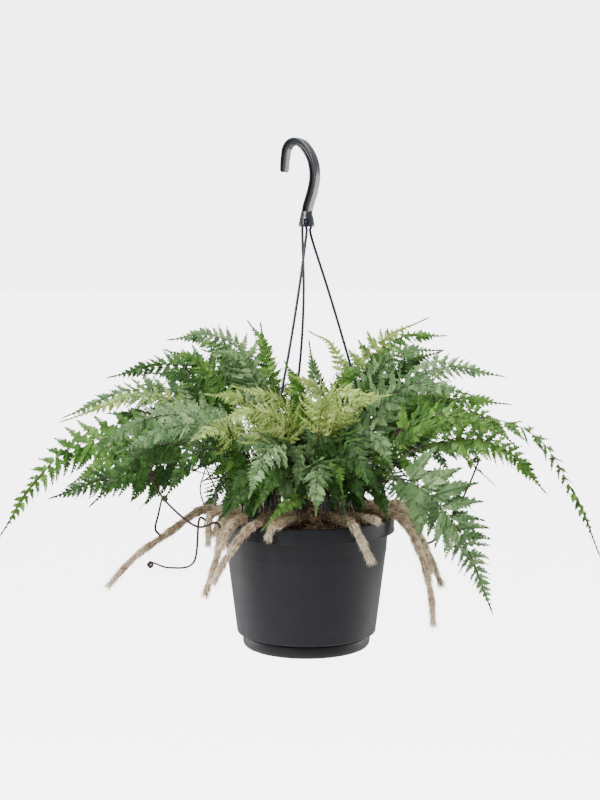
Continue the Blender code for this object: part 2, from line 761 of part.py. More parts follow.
def growing_point(rhizome, share):
    line = rhizome_line(rhizome, 41)
    place = share * (len(line) - 1)
    i = min(int(place), len(line) - 2)
    point = line[i].lerp(line[i + 1], place - i)
    ahead = (line[i + 1] - line[i]).normalized()
    up = Vector((0.0, 0.0, 1.0))
    out = (up - ahead * up.dot(ahead)).normalized()
    return point + out * (RHIZOME_RADIUS + STALK_RADIUS + CLEARANCE), out


# ---- Fronds ----
def frond_spine(name):
    rhizome, share, half_width, bare, turn, colour, points = FRONDS[name]
    root, out = growing_point(rhizome, share)
    route = [root, root + out * 0.018 * PLANT] + [Vector(p) * PLANT for p in points]
    return smooth_line(route, 61)


def build_frond(name):
    rhizome, share, half_width, bare, lean, colour, points = FRONDS[name]
    fine = frond_spine(name)
    lean = math.radians(lean)
    face = Vector((0.0, -math.sin(lean), math.cos(lean)))
    stalk_steps = [bare * s for s in (0.0, 0.12, 0.3, 0.5, 0.75, 0.97)]
    blade = (0.06, 0.18, 0.34, 0.52, 0.70, 0.87, 1.0)
    steps = stalk_steps + [bare + (1.0 - bare) * s for s in blade]
    rings = []
    for step in steps:
        place = step * (len(fine) - 1)
        i = min(int(place), len(fine) - 2)
        point = fine[i].lerp(fine[i + 1], place - i)
        ahead = (fine[min(i + 2, len(fine) - 1)] - fine[max(i - 1, 0)]).normalized()
        lift = (face - ahead * face.dot(ahead)).normalized()
        across = lift.cross(ahead)
        u = (step - bare) / (1.0 - bare)
        if u < 0.0:
            radius = STALK_RADIUS
            section = [
                (radius * math.cos(math.radians(60.0 * k)), radius * math.sin(math.radians(60.0 * k)))
                for k in range(6)
            ]
        else:
            wide = half_width * PLANT * min(1.0, 0.55 + 2.6 * u) * (1.0 - u) ** 0.75
            wide = max(wide, STALK_RADIUS)
            thick = BLADE_THICKNESS * (1.0 - 0.5 * u)
            fall = BLADE_DROOP * wide
            section = [
                (wide, -fall), (wide * 0.45, thick / 2 - fall * 0.2),
                (-wide * 0.45, thick / 2 - fall * 0.2), (-wide, -fall),
                (-wide * 0.45, -thick / 2 - fall * 0.2), (wide * 0.45, -thick / 2 - fall * 0.2),
            ]
        rings.append([point + across * a + lift * b for a, b in section])
    return triangulated(loft("frond_" + name, rings, "frond_" + colour, 80.0))


def build_crozier(name):
    rhizome, share, way, points = CROZIERS[name]
    root, out = growing_point(rhizome, share)
    route = [root, root + out * 0.006 * PLANT] + [Vector(p) * PLANT for p in points]
    line = smooth_line(route, 12)
    ahead = (line[-1] - line[-2]).normalized()
    axis = Vector((0.0, 1.0, 0.0)) * way
    across = axis.cross(ahead).normalized()
    ahead = across.cross(axis)
    middle = line[-1] + across * CURL_RADIUS
    turns = 12
    for k in range(1, turns):
        angle = math.radians(38.0 * k)
        radius = CURL_RADIUS * (1.0 - 0.62 * k / (turns - 1))
        line.append(middle + (ahead * math.sin(angle) - across * math.cos(angle)) * radius)
    radii = [CROZIER_RADIUS] * 12
    radii += [CROZIER_RADIUS * (1.0 - 0.45 * k / (turns - 1)) for k in range(1, turns)]
    return tube("crozier_" + name, line, radii, "crozier_stalk", 5, Vector((0.0, 1.0, 0.0)))


def main():
    for thing in list(bpy.data.objects):
        bpy.data.objects.remove(thing)
    pieces = [build_pot(), build_saucer(), build_mix(), build_hook()]
    pieces += [build_strand(index) for index in range(len(EAR_AZIMUTHS))]
    pieces += [build_rhizome(name) for name in RHIZOMES]
    pieces += [build_frond(name) for name in FRONDS]
    pieces += [build_crozier(name) for name in CROZIERS]
    seat = hook_point(*HOOK_LINE[HOOK_APEX]) - Vector((0.0, 0.0, HOOK_THICK / 2))
    carrier = bpy.data.objects.new("pot_axis", None)
    bpy.context.collection.objects.link(carrier)
    carrier.location = -seat
    for piece in pieces:
        piece.parent = carrier
    bpy.context.view_layer.update()


main()
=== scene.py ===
import math
import random

import bpy
import numpy as np
from mathutils import Matrix, Vector


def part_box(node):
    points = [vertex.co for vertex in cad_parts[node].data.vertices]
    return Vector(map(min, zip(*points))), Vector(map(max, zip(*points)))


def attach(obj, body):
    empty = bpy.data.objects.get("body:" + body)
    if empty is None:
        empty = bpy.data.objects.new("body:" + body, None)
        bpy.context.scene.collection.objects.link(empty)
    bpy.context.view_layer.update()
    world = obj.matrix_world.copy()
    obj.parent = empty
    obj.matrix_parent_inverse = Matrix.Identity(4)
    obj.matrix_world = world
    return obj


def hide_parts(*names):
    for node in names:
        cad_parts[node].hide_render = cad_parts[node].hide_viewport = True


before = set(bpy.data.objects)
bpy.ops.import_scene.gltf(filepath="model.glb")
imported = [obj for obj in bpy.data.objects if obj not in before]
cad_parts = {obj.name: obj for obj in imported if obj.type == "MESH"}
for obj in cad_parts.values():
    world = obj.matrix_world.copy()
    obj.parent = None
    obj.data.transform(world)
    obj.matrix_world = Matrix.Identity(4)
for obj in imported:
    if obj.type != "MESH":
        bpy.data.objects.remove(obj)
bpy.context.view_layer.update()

# ---- Camera ----
# The plant is seen from its front, a little above the rim, from far enough back for the whole
# hanger to show.
saucer_low, saucer_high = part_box("drip_saucer")
AXIS = Vector(((saucer_low.x + saucer_high.x) / 2, (saucer_low.y + saucer_high.y) / 2, 0.0))
POT_HEIGHT = 0.1425
RIM = Vector((AXIS.x, AXIS.y, saucer_low.z + POT_HEIGHT))
EYE = Vector((-0.0070, -1.7000, 0.2920))
EYE_TILT = 84.37
LENS = 71.7
SENSOR_WIDTH = 36.0
camera_data = bpy.data.cameras.new("front_camera")
camera_data.lens = LENS
camera_data.sensor_width = SENSOR_WIDTH
camera = bpy.data.objects.new("front_camera", camera_data)
camera.location = RIM + EYE
camera.rotation_euler = (math.radians(EYE_TILT), 0.0, 0.0)
bpy.context.collection.objects.link(camera)
bpy.context.scene.camera = camera

# ---- Floor and light ----
# A pale studio floor well below the hanging pot, with a white room around it and soft lamps
# at the front left and above.
FLOOR_DROP = 0.55
FLOOR_SIZE = 60.0
ROOM_FRONT = 0.22
ROOM_BACK = 0.95
ROOM_SEEN = 5.0


def deselect():
    """Leave edit mode, with nothing selected."""
    if bpy.context.object and bpy.context.object.mode != "OBJECT":
        bpy.ops.object.mode_set(mode="OBJECT")
    bpy.ops.object.select_all(action="DESELECT")


def plain_material(name, colour, roughness):
    """A material to build on: itself, its shader, its nodes and its links."""
    material = bpy.data.materials.new(name)
    material.use_nodes = True
    shader = material.node_tree.nodes["Principled BSDF"]
    shader.inputs["Base Color"].default_value = (*colour, 1.0)
    shader.inputs["Roughness"].default_value = roughness
    return material, shader, material.node_tree.nodes, material.node_tree.links


deselect()
floor_place = (AXIS.x, AXIS.y, saucer_low.z - FLOOR_DROP)
bpy.ops.mesh.primitive_plane_add(size=FLOOR_SIZE, location=floor_place)
floor = bpy.context.object
floor.name = "studio_floor"
pale, shader, nodes, links = plain_material("pale_floor", (0.86, 0.86, 0.86), 0.9)
shader.inputs["Emission Color"].default_value = (1.0, 1.0, 1.0, 1.0)
glow = nodes.new("ShaderNodeMath")
glow.operation = "MULTIPLY"
glow.inputs[1].default_value = ROOM_SEEN
links.new(nodes.new("ShaderNodeLightPath").outputs["Is Camera Ray"], glow.inputs[0])
links.new(glow.outputs["Value"], shader.inputs["Emission Strength"])
floor.data.materials.append(pale)

world = bpy.data.worlds.new("studio_room")
world.use_nodes = True
nodes, links = world.node_tree.nodes, world.node_tree.links
room = nodes["Background"]
room.inputs["Color"].default_value = (1.0, 1.0, 1.0, 1.0)
axes = nodes.new("ShaderNodeSeparateXYZ")
links.new(nodes.new("ShaderNodeTexCoord").outputs["Generated"], axes.inputs["Vector"])
depth = nodes.new("ShaderNodeMapRange")
depth.inputs["From Min"].default_value = -1.0
depth.inputs["To Min"].default_value = ROOM_FRONT
depth.inputs["To Max"].default_value = ROOM_BACK
links.new(axes.outputs["Y"], depth.inputs["Value"])
brightness = nodes.new("ShaderNodeMapRange")
brightness.inputs["To Max"].default_value = ROOM_SEEN
links.new(nodes.new("ShaderNodeLightPath").outputs["Is Camera Ray"], brightness.inputs["Value"])
links.new(depth.outputs["Result"], brightness.inputs["To Min"])
links.new(brightness.outputs["Result"], room.inputs["Strength"])
bpy.context.scene.world = world


def soft_lamp(name, place, size, power):
    """A round soft lamp that points at the middle of the pot's rim."""
    data = bpy.data.lights.new(name, "AREA")
    data.shape = "DISK"
    data.size = size
    data.energy = power
    lamp = bpy.data.objects.new(name, data)
    lamp.location = place
    lamp.rotation_euler = (RIM - place).to_track_quat("-Z", "Y").to_euler()
    bpy.context.collection.objects.link(lamp)


soft_lamp("key_lamp", RIM + Vector((-1.1, -1.3, 1.5)), 1.0, 62.0)
soft_lamp("top_lamp", RIM + Vector((0.3, 0.2, 1.9)), 1.4, 40.0)
soft_lamp("left_lamp", RIM + Vector((-1.5, 0.7, 0.0)), 1.1, 21.0)
soft_lamp("right_lamp", RIM + Vector((1.5, 0.6, 0.0)), 1.1, 21.0)

# ---- Pot ----
# The pot is injection moulded in one piece of matte anthracite plastic: a tapering wall, a
# turned-down rim band, three ears with holes for the hanger, a stepped foot and a pierced
# floor.
RIM_RADIUS = 0.0950
RIM_BAND = 0.0158
RIM_PLATE = 0.0018
BAND_WALL = 0.0015
WALL = 0.0018
WALL_TOP = 0.0888
WALL_FOOT = 0.0752
BASE_RADIUS = 0.0668
BASE_UNDERSIDE = -0.1365
POT_FLOOR = 0.0020
STEP_LOW = -0.1289
STEP_HIGH = -0.1259
POST_HOLE = 0.0053
CLEARANCE = 0.0003
EAR_AZIMUTHS = (-8.0, 112.0, 232.0)
EAR_MIDDLE = 0.0923
EAR_DEPTH = 0.0030
EAR_WIDTH = 0.0100
PEG_HEIGHT = 0.0056
EAR_TOP = 0.0102
CLIP_RADIUS = 0.0021
EAR_ROUNDING = 0.0009
DRAIN_HOLES = 6
DRAIN_RADIUS = 0.0040
DRAIN_CIRCLE = 0.0437
DRAIN_TURN = 34.6
CUTTER_LENGTH = 0.02
CUTTER_SIDES = 24


def polar(azimuth, radius, height):
    """A place by azimuth in degrees, radius from the pot's axis and height above its rim."""
    turn = math.radians(azimuth)
    return RIM + Vector((radius * math.cos(turn), radius * math.sin(turn), height))


def finish_piece(piece, material, smooth_angle):
    """Put the place in the mesh, make the faces point outwards and give the finish."""
    deselect()
    piece.select_set(True)
    bpy.context.view_layer.objects.active = piece
    bpy.ops.object.transform_apply(location=True, rotation=True, scale=True)
    bpy.ops.object.mode_set(mode="EDIT")
    bpy.ops.mesh.select_all(action="SELECT")
    bpy.ops.mesh.normals_make_consistent(inside=False)
    bpy.ops.object.mode_set(mode="OBJECT")
    bpy.ops.object.shade_smooth_by_angle(angle=math.radians(smooth_angle))
    piece.data.materials.clear()
    piece.data.materials.append(material)


def turned(name, profile, around, closed=False):
    """A ring drawn out and resized along (radius, height) points, as on a lathe.

    A closed one comes back to its first ring; an open one starts from a filled disc.
    """
    deselect()
    radius, height = profile[0]
    middle = RIM + Vector((0, 0, height))
    bpy.ops.mesh.primitive_circle_add(vertices=around, radius=radius, location=middle)
    piece = bpy.context.object
    piece.name = name
    bpy.ops.object.mode_set(mode="EDIT")
    bpy.ops.mesh.select_all(action="SELECT")
    if not closed:
        bpy.ops.mesh.edge_face_add()
    for wider, higher in profile[1:] + (profile[:1] if closed else []):
        rise = {"value": (0.0, 0.0, higher - height)}
        bpy.ops.mesh.extrude_region_move(TRANSFORM_OT_translate=rise)
        growth = wider / radius
        bpy.ops.transform.resize(value=(growth, growth, 1.0), center_override=RIM)
        radius, height = wider, higher
    if closed:
        bpy.ops.mesh.select_all(action="SELECT")
        bpy.ops.mesh.remove_doubles(threshold=0.00001)
    bpy.ops.object.mode_set(mode="OBJECT")
    return piece


def cut_with(piece, tool, operation="DIFFERENCE"):
    """Take the tool's shape out of the piece, or join it on, and drop the tool."""
    step = piece.modifiers.new(operation.lower(), "BOOLEAN")
    step.operation = operation
    step.solver = "EXACT"
    step.object = tool
    deselect()
    bpy.context.view_layer.objects.active = piece
    bpy.ops.object.modifier_apply(modifier=step.name)
    bpy.data.objects.remove(tool)


def add_block(size, place, azimuth):
    """A block whose first side points outwards at the azimuth."""
    deselect()
    turn = (0.0, 0.0, math.radians(azimuth))
    bpy.ops.mesh.primitive_cube_add(size=1.0, location=place, rotation=turn)
    block = bpy.context.object
    block.scale = size
    bpy.ops.object.transform_apply(location=False, rotation=False, scale=True)
    return block


def add_cutter(radius, place, turn):
    """A round rod for boring a hole."""
    deselect()
    bpy.ops.mesh.primitive_cylinder_add(
        vertices=CUTTER_SIDES, radius=radius, depth=CUTTER_LENGTH, location=place, rotation=turn
    )
    return bpy.context.object


pot_profile = [
    (POST_HOLE, BASE_UNDERSIDE),
    (BASE_RADIUS - 0.0030, BASE_UNDERSIDE),
    (BASE_RADIUS - 0.0012, BASE_UNDERSIDE + 0.0004),
    (BASE_RADIUS - 0.0004, BASE_UNDERSIDE + 0.0012),
    (BASE_RADIUS, BASE_UNDERSIDE + 0.0030),
    (BASE_RADIUS, STEP_LOW),
    (WALL_FOOT - 0.0062, STEP_LOW + 0.0003),
    (WALL_FOOT - 0.0055, STEP_LOW + 0.0008),
    (WALL_FOOT - 0.0008, STEP_HIGH - 0.0004),
    (WALL_FOOT - 0.0001, STEP_HIGH + 0.0003),
    (WALL_FOOT + 0.0001, STEP_HIGH + 0.0016),
    (WALL_TOP - 0.0027, -0.0380),
    (WALL_TOP - 0.0023, -0.0376),
    (WALL_TOP - 0.0022, -0.0362),
    (WALL_TOP, -RIM_PLATE - 0.0010),
    (WALL_TOP + 0.0006, -RIM_PLATE),
    (RIM_RADIUS - BAND_WALL - 0.0006, -RIM_PLATE),
    (RIM_RADIUS - BAND_WALL, -RIM_PLATE - 0.0008),
    (RIM_RADIUS - BAND_WALL - 0.0002, -RIM_BAND + 0.0003),
    (RIM_RADIUS - BAND_WALL + 0.0002, -RIM_BAND),
    (RIM_RADIUS - 0.0002, -RIM_BAND),
    (RIM_RADIUS + 0.0001, -RIM_BAND + 0.0003),
    (RIM_RADIUS + 0.0001, -RIM_BAND + 0.0009),
    (RIM_RADIUS - 0.0003, -RIM_BAND + 0.0014),
    (RIM_RADIUS - 0.0001, -0.0012),
    (RIM_RADIUS - 0.0004, -0.0004),
    (RIM_RADIUS - 0.0011, 0.0),
    (WALL_TOP - WALL + 0.0009, 0.0),
    (WALL_TOP - WALL + 0.0002, -0.0004),
    (WALL_TOP - WALL, -0.0013),
    (WALL_FOOT - WALL, STEP_HIGH + 0.0016),
    (BASE_RADIUS - WALL, STEP_HIGH - 0.0004),
    (BASE_RADIUS - WALL, BASE_UNDERSIDE + POT_FLOOR + 0.0020),
    (BASE_RADIUS - WALL - 0.0020, BASE_UNDERSIDE + POT_FLOOR),
    (POST_HOLE, BASE_UNDERSIDE + POT_FLOOR),
]
pot = turned("pot_shell", pot_profile, 160, closed=True)
for k in range(DRAIN_HOLES):
    drain = polar(360.0 / DRAIN_HOLES * k + DRAIN_TURN, DRAIN_CIRCLE, BASE_UNDERSIDE)
    cut_with(pot, add_cutter(DRAIN_RADIUS, drain, (0, 0, 0)))
for azimuth in EAR_AZIMUTHS:
    rise = EAR_TOP + RIM_PLATE * 0.6
    middle = polar(azimuth, EAR_MIDDLE, EAR_TOP - rise / 2)
    ear = add_block((EAR_DEPTH, EAR_WIDTH, rise), middle, azimuth)
    rounding = ear.modifiers.new("rounding", "BEVEL")
    rounding.width = EAR_ROUNDING
    rounding.segments = 3
    deselect()
    bpy.context.view_layer.objects.active = ear
    bpy.ops.object.modifier_apply(modifier=rounding.name)
    quarter = (0.0, math.radians(90.0), math.radians(azimuth))
    peg = polar(azimuth, EAR_MIDDLE, PEG_HEIGHT)
    cut_with(ear, add_cutter(CLIP_RADIUS + CLEARANCE, peg, quarter))
    cut_with(pot, ear, "UNION")


def noise(nodes, links, coordinates, scale, detail=4.0, roughness=0.6):
    """A cloudy pattern from 0 to 1."""
    node = nodes.new("ShaderNodeTexNoise")
    node.inputs["Scale"].default_value = scale
    node.inputs["Detail"].default_value = detail
    node.inputs["Roughness"].default_value = roughness
    links.new(coordinates, node.inputs["Vector"])
    return node.outputs["Fac"]


def ramp(nodes, links, value, stops):
    """A colour for the value, between (place, colour) stops."""
    node = nodes.new("ShaderNodeValToRGB")
    while len(node.color_ramp.elements) < len(stops):
        node.color_ramp.elements.new(0.5)
    for element, (place, colour) in zip(node.color_ramp.elements, stops):
        element.position = place
        element.color = (*colour, 1.0)
    links.new(value, node.inputs["Fac"])
    return node.outputs["Color"]


def span(nodes, links, value, low, high, from_low=0.0, from_high=1.0):
    """The value stretched from one range to another."""
    node = nodes.new("ShaderNodeMapRange")
    node.inputs["From Min"].default_value = from_low
    node.inputs["From Max"].default_value = from_high
    node.inputs["To Min"].default_value = low
    node.inputs["To Max"].default_value = high
    links.new(value, node.inputs["Value"])
    return node.outputs["Result"]


def bump(nodes, links, shader, height, strength, distance):
    """Fine relief on the surface from a height pattern."""
    node = nodes.new("ShaderNodeBump")
    node.inputs["Strength"].default_value = strength
    node.inputs["Distance"].default_value = distance
    links.new(height, node.inputs["Height"])
    links.new(node.outputs["Normal"], shader.inputs["Normal"])


DUST_COLOUR = (0.16, 0.15, 0.14)
DUST_SHARE = 0.35
PATCH_SCALE = 38.0
SPECK_SCALE = 900.0
GRAIN_SCALE = 1500.0
GRAIN_DEPTH = 0.0002


def moulded_plastic(name, dark, light, gloss_low, gloss_high, grain=0.25, shine=0.28):
    """Moulded plastic with a fine spark-eroded grain, faint flow patches and dust specks."""
    material, shader, nodes, links = plain_material(name, dark, gloss_low)
    shader.inputs["Specular IOR Level"].default_value = shine
    place = nodes.new("ShaderNodeTexCoord").outputs["Object"]
    patches = noise(nodes, links, place, PATCH_SCALE, 5.0)
    specks = noise(nodes, links, place, SPECK_SCALE, 2.0, 0.8)
    tint = ramp(nodes, links, patches, [(0.25, dark), (0.8, light)])
    dust = ramp(nodes, links, specks, [(0.70, (0.0, 0.0, 0.0)), (0.80, DUST_COLOUR)])
    both = nodes.new("ShaderNodeMix")
    both.data_type = "RGBA"
    both.blend_type = "ADD"
    both.inputs["Factor"].default_value = DUST_SHARE
    links.new(tint, both.inputs["A"])
    links.new(dust, both.inputs["B"])
    links.new(both.outputs["Result"], shader.inputs["Base Color"])
    gloss = span(nodes, links, patches, gloss_low, gloss_high, 0.3, 0.7)
    links.new(gloss, shader.inputs["Roughness"])
    bump(nodes, links, shader, noise(nodes, links, place, GRAIN_SCALE, 2.0), grain, GRAIN_DEPTH)
    return material


pot_plastic = moulded_plastic(
    "anthracite_pot_plastic", (0.010, 0.010, 0.013), (0.016, 0.016, 0.021), 0.46, 0.58
)
finish_piece(pot, pot_plastic, 30.0)
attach(pot, "root")
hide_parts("pot")

# ---- Drip saucer ----
# A shallow dish in the same plastic that nests on the stepped foot. Its middle post snaps
# through the hole in the pot's floor.
FOOT = -POT_HEIGHT
SAUCER_RADIUS = 0.0691
SAUCER_HEIGHT = 0.0133
SAUCER_WALL = 0.0020
SAUCER_FLOOR = 0.0020
POST_RADIUS = 0.0050
POLE = 0.0010
post_head = BASE_UNDERSIDE + POT_FLOOR + CLEARANCE
saucer_profile = [
    (POLE, FOOT),
    (SAUCER_RADIUS - 0.0080, FOOT),
    (SAUCER_RADIUS - 0.0046, FOOT + 0.0003),
    (SAUCER_RADIUS - 0.0024, FOOT + 0.0013),
    (SAUCER_RADIUS - 0.0009, FOOT + 0.0030),
    (SAUCER_RADIUS - 0.0002, FOOT + 0.0052),
    (SAUCER_RADIUS, FOOT + 0.0075),
    (SAUCER_RADIUS, FOOT + SAUCER_HEIGHT - 0.0010),
    (SAUCER_RADIUS - 0.0002, FOOT + SAUCER_HEIGHT - 0.0003),
    (SAUCER_RADIUS - 0.0006, FOOT + SAUCER_HEIGHT),
    (SAUCER_RADIUS - SAUCER_WALL, FOOT + SAUCER_HEIGHT),
    (SAUCER_RADIUS - SAUCER_WALL, FOOT + 0.0055),
    (SAUCER_RADIUS - SAUCER_WALL - 0.0035, FOOT + SAUCER_FLOOR),
    (POST_RADIUS, FOOT + SAUCER_FLOOR),
    (POST_RADIUS, post_head),
    (POST_RADIUS + 0.0016, post_head),
    (POST_RADIUS + 0.0014, post_head + 0.0010),
    (POST_RADIUS - 0.0012, post_head + 0.0032),
    (POLE, post_head + 0.0032),
]


def close_end(piece):
    """Fill the last ring of a turned piece."""
    bpy.context.view_layer.objects.active = piece
    bpy.ops.object.mode_set(mode="EDIT")
    bpy.ops.mesh.edge_face_add()
    bpy.ops.object.mode_set(mode="OBJECT")


saucer = turned("saucer", saucer_profile, 160)
close_end(saucer)
saucer_plastic = moulded_plastic(
    "anthracite_saucer_plastic", (0.010, 0.010, 0.012), (0.016, 0.016, 0.019), 0.46, 0.58
)
finish_piece(saucer, saucer_plastic, 30.0)
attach(saucer, "root")
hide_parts("drip_saucer")

# ---- Potting mix ----
# Dark peat and coir fill the pot to just under the rim, with chips of bark, pale fibres and
# a few white grains lying loose on top.
MIX_MOUND = 0.0030
MIX_EDGE_DEPTH = 0.0120
MIX_REACH = 0.0856
MIX_RINGS = 33
MIX_POLE = 0.0020
MIX_FOOT = 0.0640
MIX_UNDERSIDE = -0.1322
POST_ROOM = 0.0072
POST_ROOM_TOP = -0.1305
CHIP_COUNT = 2200
CHIP_SIZES = ((0.0040, 0.0017, 0.0008), (0.0026, 0.0019, 0.0010), (0.0085, 0.0005, 0.0004))
FIBRE = 2


def mix_height(radius):
    """The mix stands highest in the middle and falls away to the pot's wall."""
    return MIX_MOUND - (MIX_MOUND + MIX_EDGE_DEPTH) * min(1.0, radius / MIX_REACH) ** 2.4


mix_profile = [(MIX_POLE, mix_height(0.0))]
for k in range(1, MIX_RINGS + 1):
    radius = MIX_REACH * k / MIX_RINGS
    mix_profile.append((radius, mix_height(radius)))
mix_profile += [
    (0.0731, STEP_HIGH + 0.0024),
    (MIX_FOOT, STEP_HIGH),
    (MIX_FOOT, MIX_UNDERSIDE),
    (POST_ROOM, MIX_UNDERSIDE),
    (POST_ROOM, POST_ROOM_TOP),
    (MIX_POLE, POST_ROOM_TOP),
]
mix = turned("peat_mix", mix_profile, 150)
close_end(mix)
chance = random.Random(11)


def crumbly(place, size, seed):
    """A height between hills and hollows, from three sizes of crossed waves."""
    total = 0.0
    for octave in range(3):
        step = size / (1.9 ** octave)
        a = math.sin(place.x / step * 2.1 + seed) * math.cos(place.y / step * 1.7 - seed * 0.7)
        b = math.sin((place.x + place.y) / step * 1.3 + seed * 2.0 + octave)
        total += (a + b) * 0.5 / (1.6 ** octave)
    return total


for vertex in mix.data.vertices:
    place = mix.matrix_world @ vertex.co - RIM
    radius = math.hypot(place.x, place.y)
    if place.z > -0.020 and radius < MIX_REACH - 0.001:
        vertex.co.z += 0.0007 * crumbly(place, 0.008, 3.0) + chance.uniform(-0.0005, 0.0005)

mix_material, shader, nodes, links = plain_material("peat_and_coir", (0.05, 0.03, 0.02), 0.95)
place = nodes.new("ShaderNodeTexCoord").outputs["Object"]
crumbs = noise(nodes, links, place, 420.0, 6.0, 0.75)
stops = [
    (0.30, (0.018, 0.010, 0.006)), (0.46, (0.09, 0.05, 0.024)),
    (0.58, (0.24, 0.14, 0.07)), (0.70, (0.55, 0.38, 0.21)),
]
links.new(ramp(nodes, links, crumbs, stops), shader.inputs["Base Color"])
bump(nodes, links, shader, crumbs, 0.9, 0.0012)
finish_piece(mix, mix_material, 60.0)
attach(mix, "root")
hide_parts("potting_mix")

chip_shapes = []
for k, (long, wide, thick) in enumerate(CHIP_SIZES):
    deselect()
    bpy.ops.mesh.primitive_ico_sphere_add(subdivisions=1, radius=0.5, location=(0, 0, 0))
    chip = bpy.context.object
    bpy.ops.object.mode_set(mode="EDIT")
    bpy.ops.mesh.select_all(action="SELECT")
    bpy.ops.transform.vertex_random(offset=0.09, seed=k + 1)
    bpy.ops.transform.resize(value=(long, wide, thick), center_override=(0.0, 0.0, 0.0))
    bpy.ops.object.mode_set(mode="OBJECT")
    corners = np.array([v.co for v in chip.data.vertices])
    chip_shapes.append((corners, [tuple(p.vertices) for p in chip.data.polygons]))
    bpy.data.objects.remove(chip)


def gather(name, parts, materials):
    """One mesh from many parts: points, faces, material number and tones of each."""
    points, faces, slots, tones = [], [], [], []
    start = 0
    for corners, polygons, slot, tone in parts:
        points.append(corners)
        faces.extend([tuple(i + start for i in polygon) for polygon in polygons])
        slots.extend([slot] * len(polygons))
        tones.append(tone)
        start += len(corners)
    mesh = bpy.data.meshes.new(name)
    mesh.from_pydata(np.concatenate(points).tolist(), [], faces)
    mesh.polygons.foreach_set("material_index", slots)
    layer = mesh.attributes.new("tone", "FLOAT_COLOR", "POINT")
    layer.data.foreach_set("color", np.concatenate(tones).astype(np.float32).ravel())
    for material in materials:
        mesh.materials.append(material)
    mesh.update()
    piece = bpy.data.objects.new(name, mesh)
    bpy.context.collection.objects.link(piece)
    return piece


def tones_for(count, shade, along=0.0):
    """The tone of every point: its shade, its place along a leaf, and an edge still unset."""
    return np.tile(np.array([[shade, along, 0.0, 1.0]]), (count, 1))


def tone_channels(nodes, links):
    """Shade, place along and nearness to the edge, as Red, Green and Blue."""
    tone = nodes.new("ShaderNodeVertexColor")
    tone.layer_name = "tone"
    parted = nodes.new("ShaderNodeSeparateColor")
    links.new(tone.outputs["Color"], parted.inputs["Color"])
    return parted.outputs


chips = []
for k in range(CHIP_COUNT):
    radius = MIX_REACH * 0.97 * math.sqrt(chance.random())
    azimuth = chance.uniform(0.0, 360.0)
    kind = chance.choice((0, 0, 1, 1, 2))
    corners, polygons = chip_shapes[kind]
    turn = Matrix.Rotation(chance.uniform(0.0, 6.28), 3, "Z")
    turn = turn @ Matrix.Rotation(chance.gauss(0.0, 0.3), 3, "Y")
    size = chance.uniform(0.55, 1.15)
    middle = polar(azimuth, radius, mix_height(radius) + chance.uniform(0.0, 0.0010))
    corners = corners @ np.array(turn.transposed()) * size + np.array(middle)
    shade = chance.uniform(0.4, 1.0) if kind == FIBRE else chance.random() ** 1.1
    chips.append((corners, polygons, 0, tones_for(len(corners), shade)))

chip_material, shader, nodes, links = plain_material(
    "bark_chips_and_fibres", (0.1, 0.06, 0.03), 0.85
)
shade = tone_channels(nodes, links)["Red"]
stops = [
    (0.0, (0.030, 0.016, 0.009)), (0.35, (0.17, 0.09, 0.040)),
    (0.7, (0.62, 0.42, 0.22)), (1.0, (0.95, 0.80, 0.56)),
]
links.new(ramp(nodes, links, shade, stops), shader.inputs["Base Color"])
chip_litter = gather("bark_chips", chips, [chip_material])
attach(chip_litter, "root")

# ---- Hanger hook ----
# One moulding in charcoal plastic: an arch of I-shaped section, open to one side, on a
# flared collar with three slots and pockets that hold the heads of the strands.
COLLAR = 0.3090
COLLAR_RADIUS = 0.0087
COLLAR_NECK = 0.0060
COLLAR_LENGTH = 0.0170
COLLAR_PLATE = 0.0028
POCKET_TOP = 0.0085
POCKET_WIDTH = 0.0050
STRAND_RADIUS = 0.00135
SOCKET_CIRCLE = 0.0054
SOCKET_AZIMUTHS = (25.0, 145.0, 265.0)
HOOK_AZIMUTH = -35.0
HOOK_THICK = 0.0082
HOOK_WIDTH = 0.0099
FLANGE = 0.0018
WEB = 0.0030
HOOK_ROUNDING = 0.0007
HOOK_RINGS = 90
SLOT_DEPTH = 0.008
HOOK_LINE = (
    (0.0000, 0.0130), (0.0022, 0.0225), (0.0080, 0.0390), (0.0106, 0.0550), (0.0068, 0.0720),
    (-0.0040, 0.0862), (-0.0157, 0.0902), (-0.0247, 0.0845), (-0.0278, 0.0710), (-0.0290, 0.0580),
)


def smooth_line(points, count):
    """A Catmull-Rom curve through the points, cut into equal steps."""
    points = [Vector(p) for p in points]
    ends = [points[0] * 2 - points[1]] + points + [points[-1] * 2 - points[-2]]
    fine = []
    for i in range(len(points) - 1):
        a, b, c, d = ends[i : i + 4]
        for step in range(24):
            t = step / 24
            curve = 2 * b + (c - a) * t + (2 * a - 5 * b + 4 * c - d) * t * t
            fine.append(0.5 * (curve + (3 * b - a - 3 * c + d) * t ** 3))
    fine.append(points[-1])
    return even_steps(fine, count)


def even_steps(fine, count):
    """The same line in points that lie equally far apart."""
    lengths = [0.0]
    for a, b in zip(fine, fine[1:]):
        lengths.append(lengths[-1] + (b - a).length)
    line = []
    i = 0
    for k in range(count):
        target = lengths[-1] * k / (count - 1)
        while i < len(fine) - 2 and lengths[i + 1] < target:
            i += 1
        reach = max(lengths[i + 1] - lengths[i], 1e-9)
        line.append(fine[i].lerp(fine[i + 1], min(1.0, (target - lengths[i]) / reach)))
    return line


def frames(line, side):
    """An ahead, a side and a lift direction at every point, kept square to the line."""
    result = []
    for i in range(len(line)):
        ahead = line[min(i + 1, len(line) - 1)] - line[max(i - 1, 0)]
        ahead.normalize()
        side = side - ahead * side.dot(ahead)
        side.normalize()
        result.append((ahead, side, ahead.cross(side)))
    return result


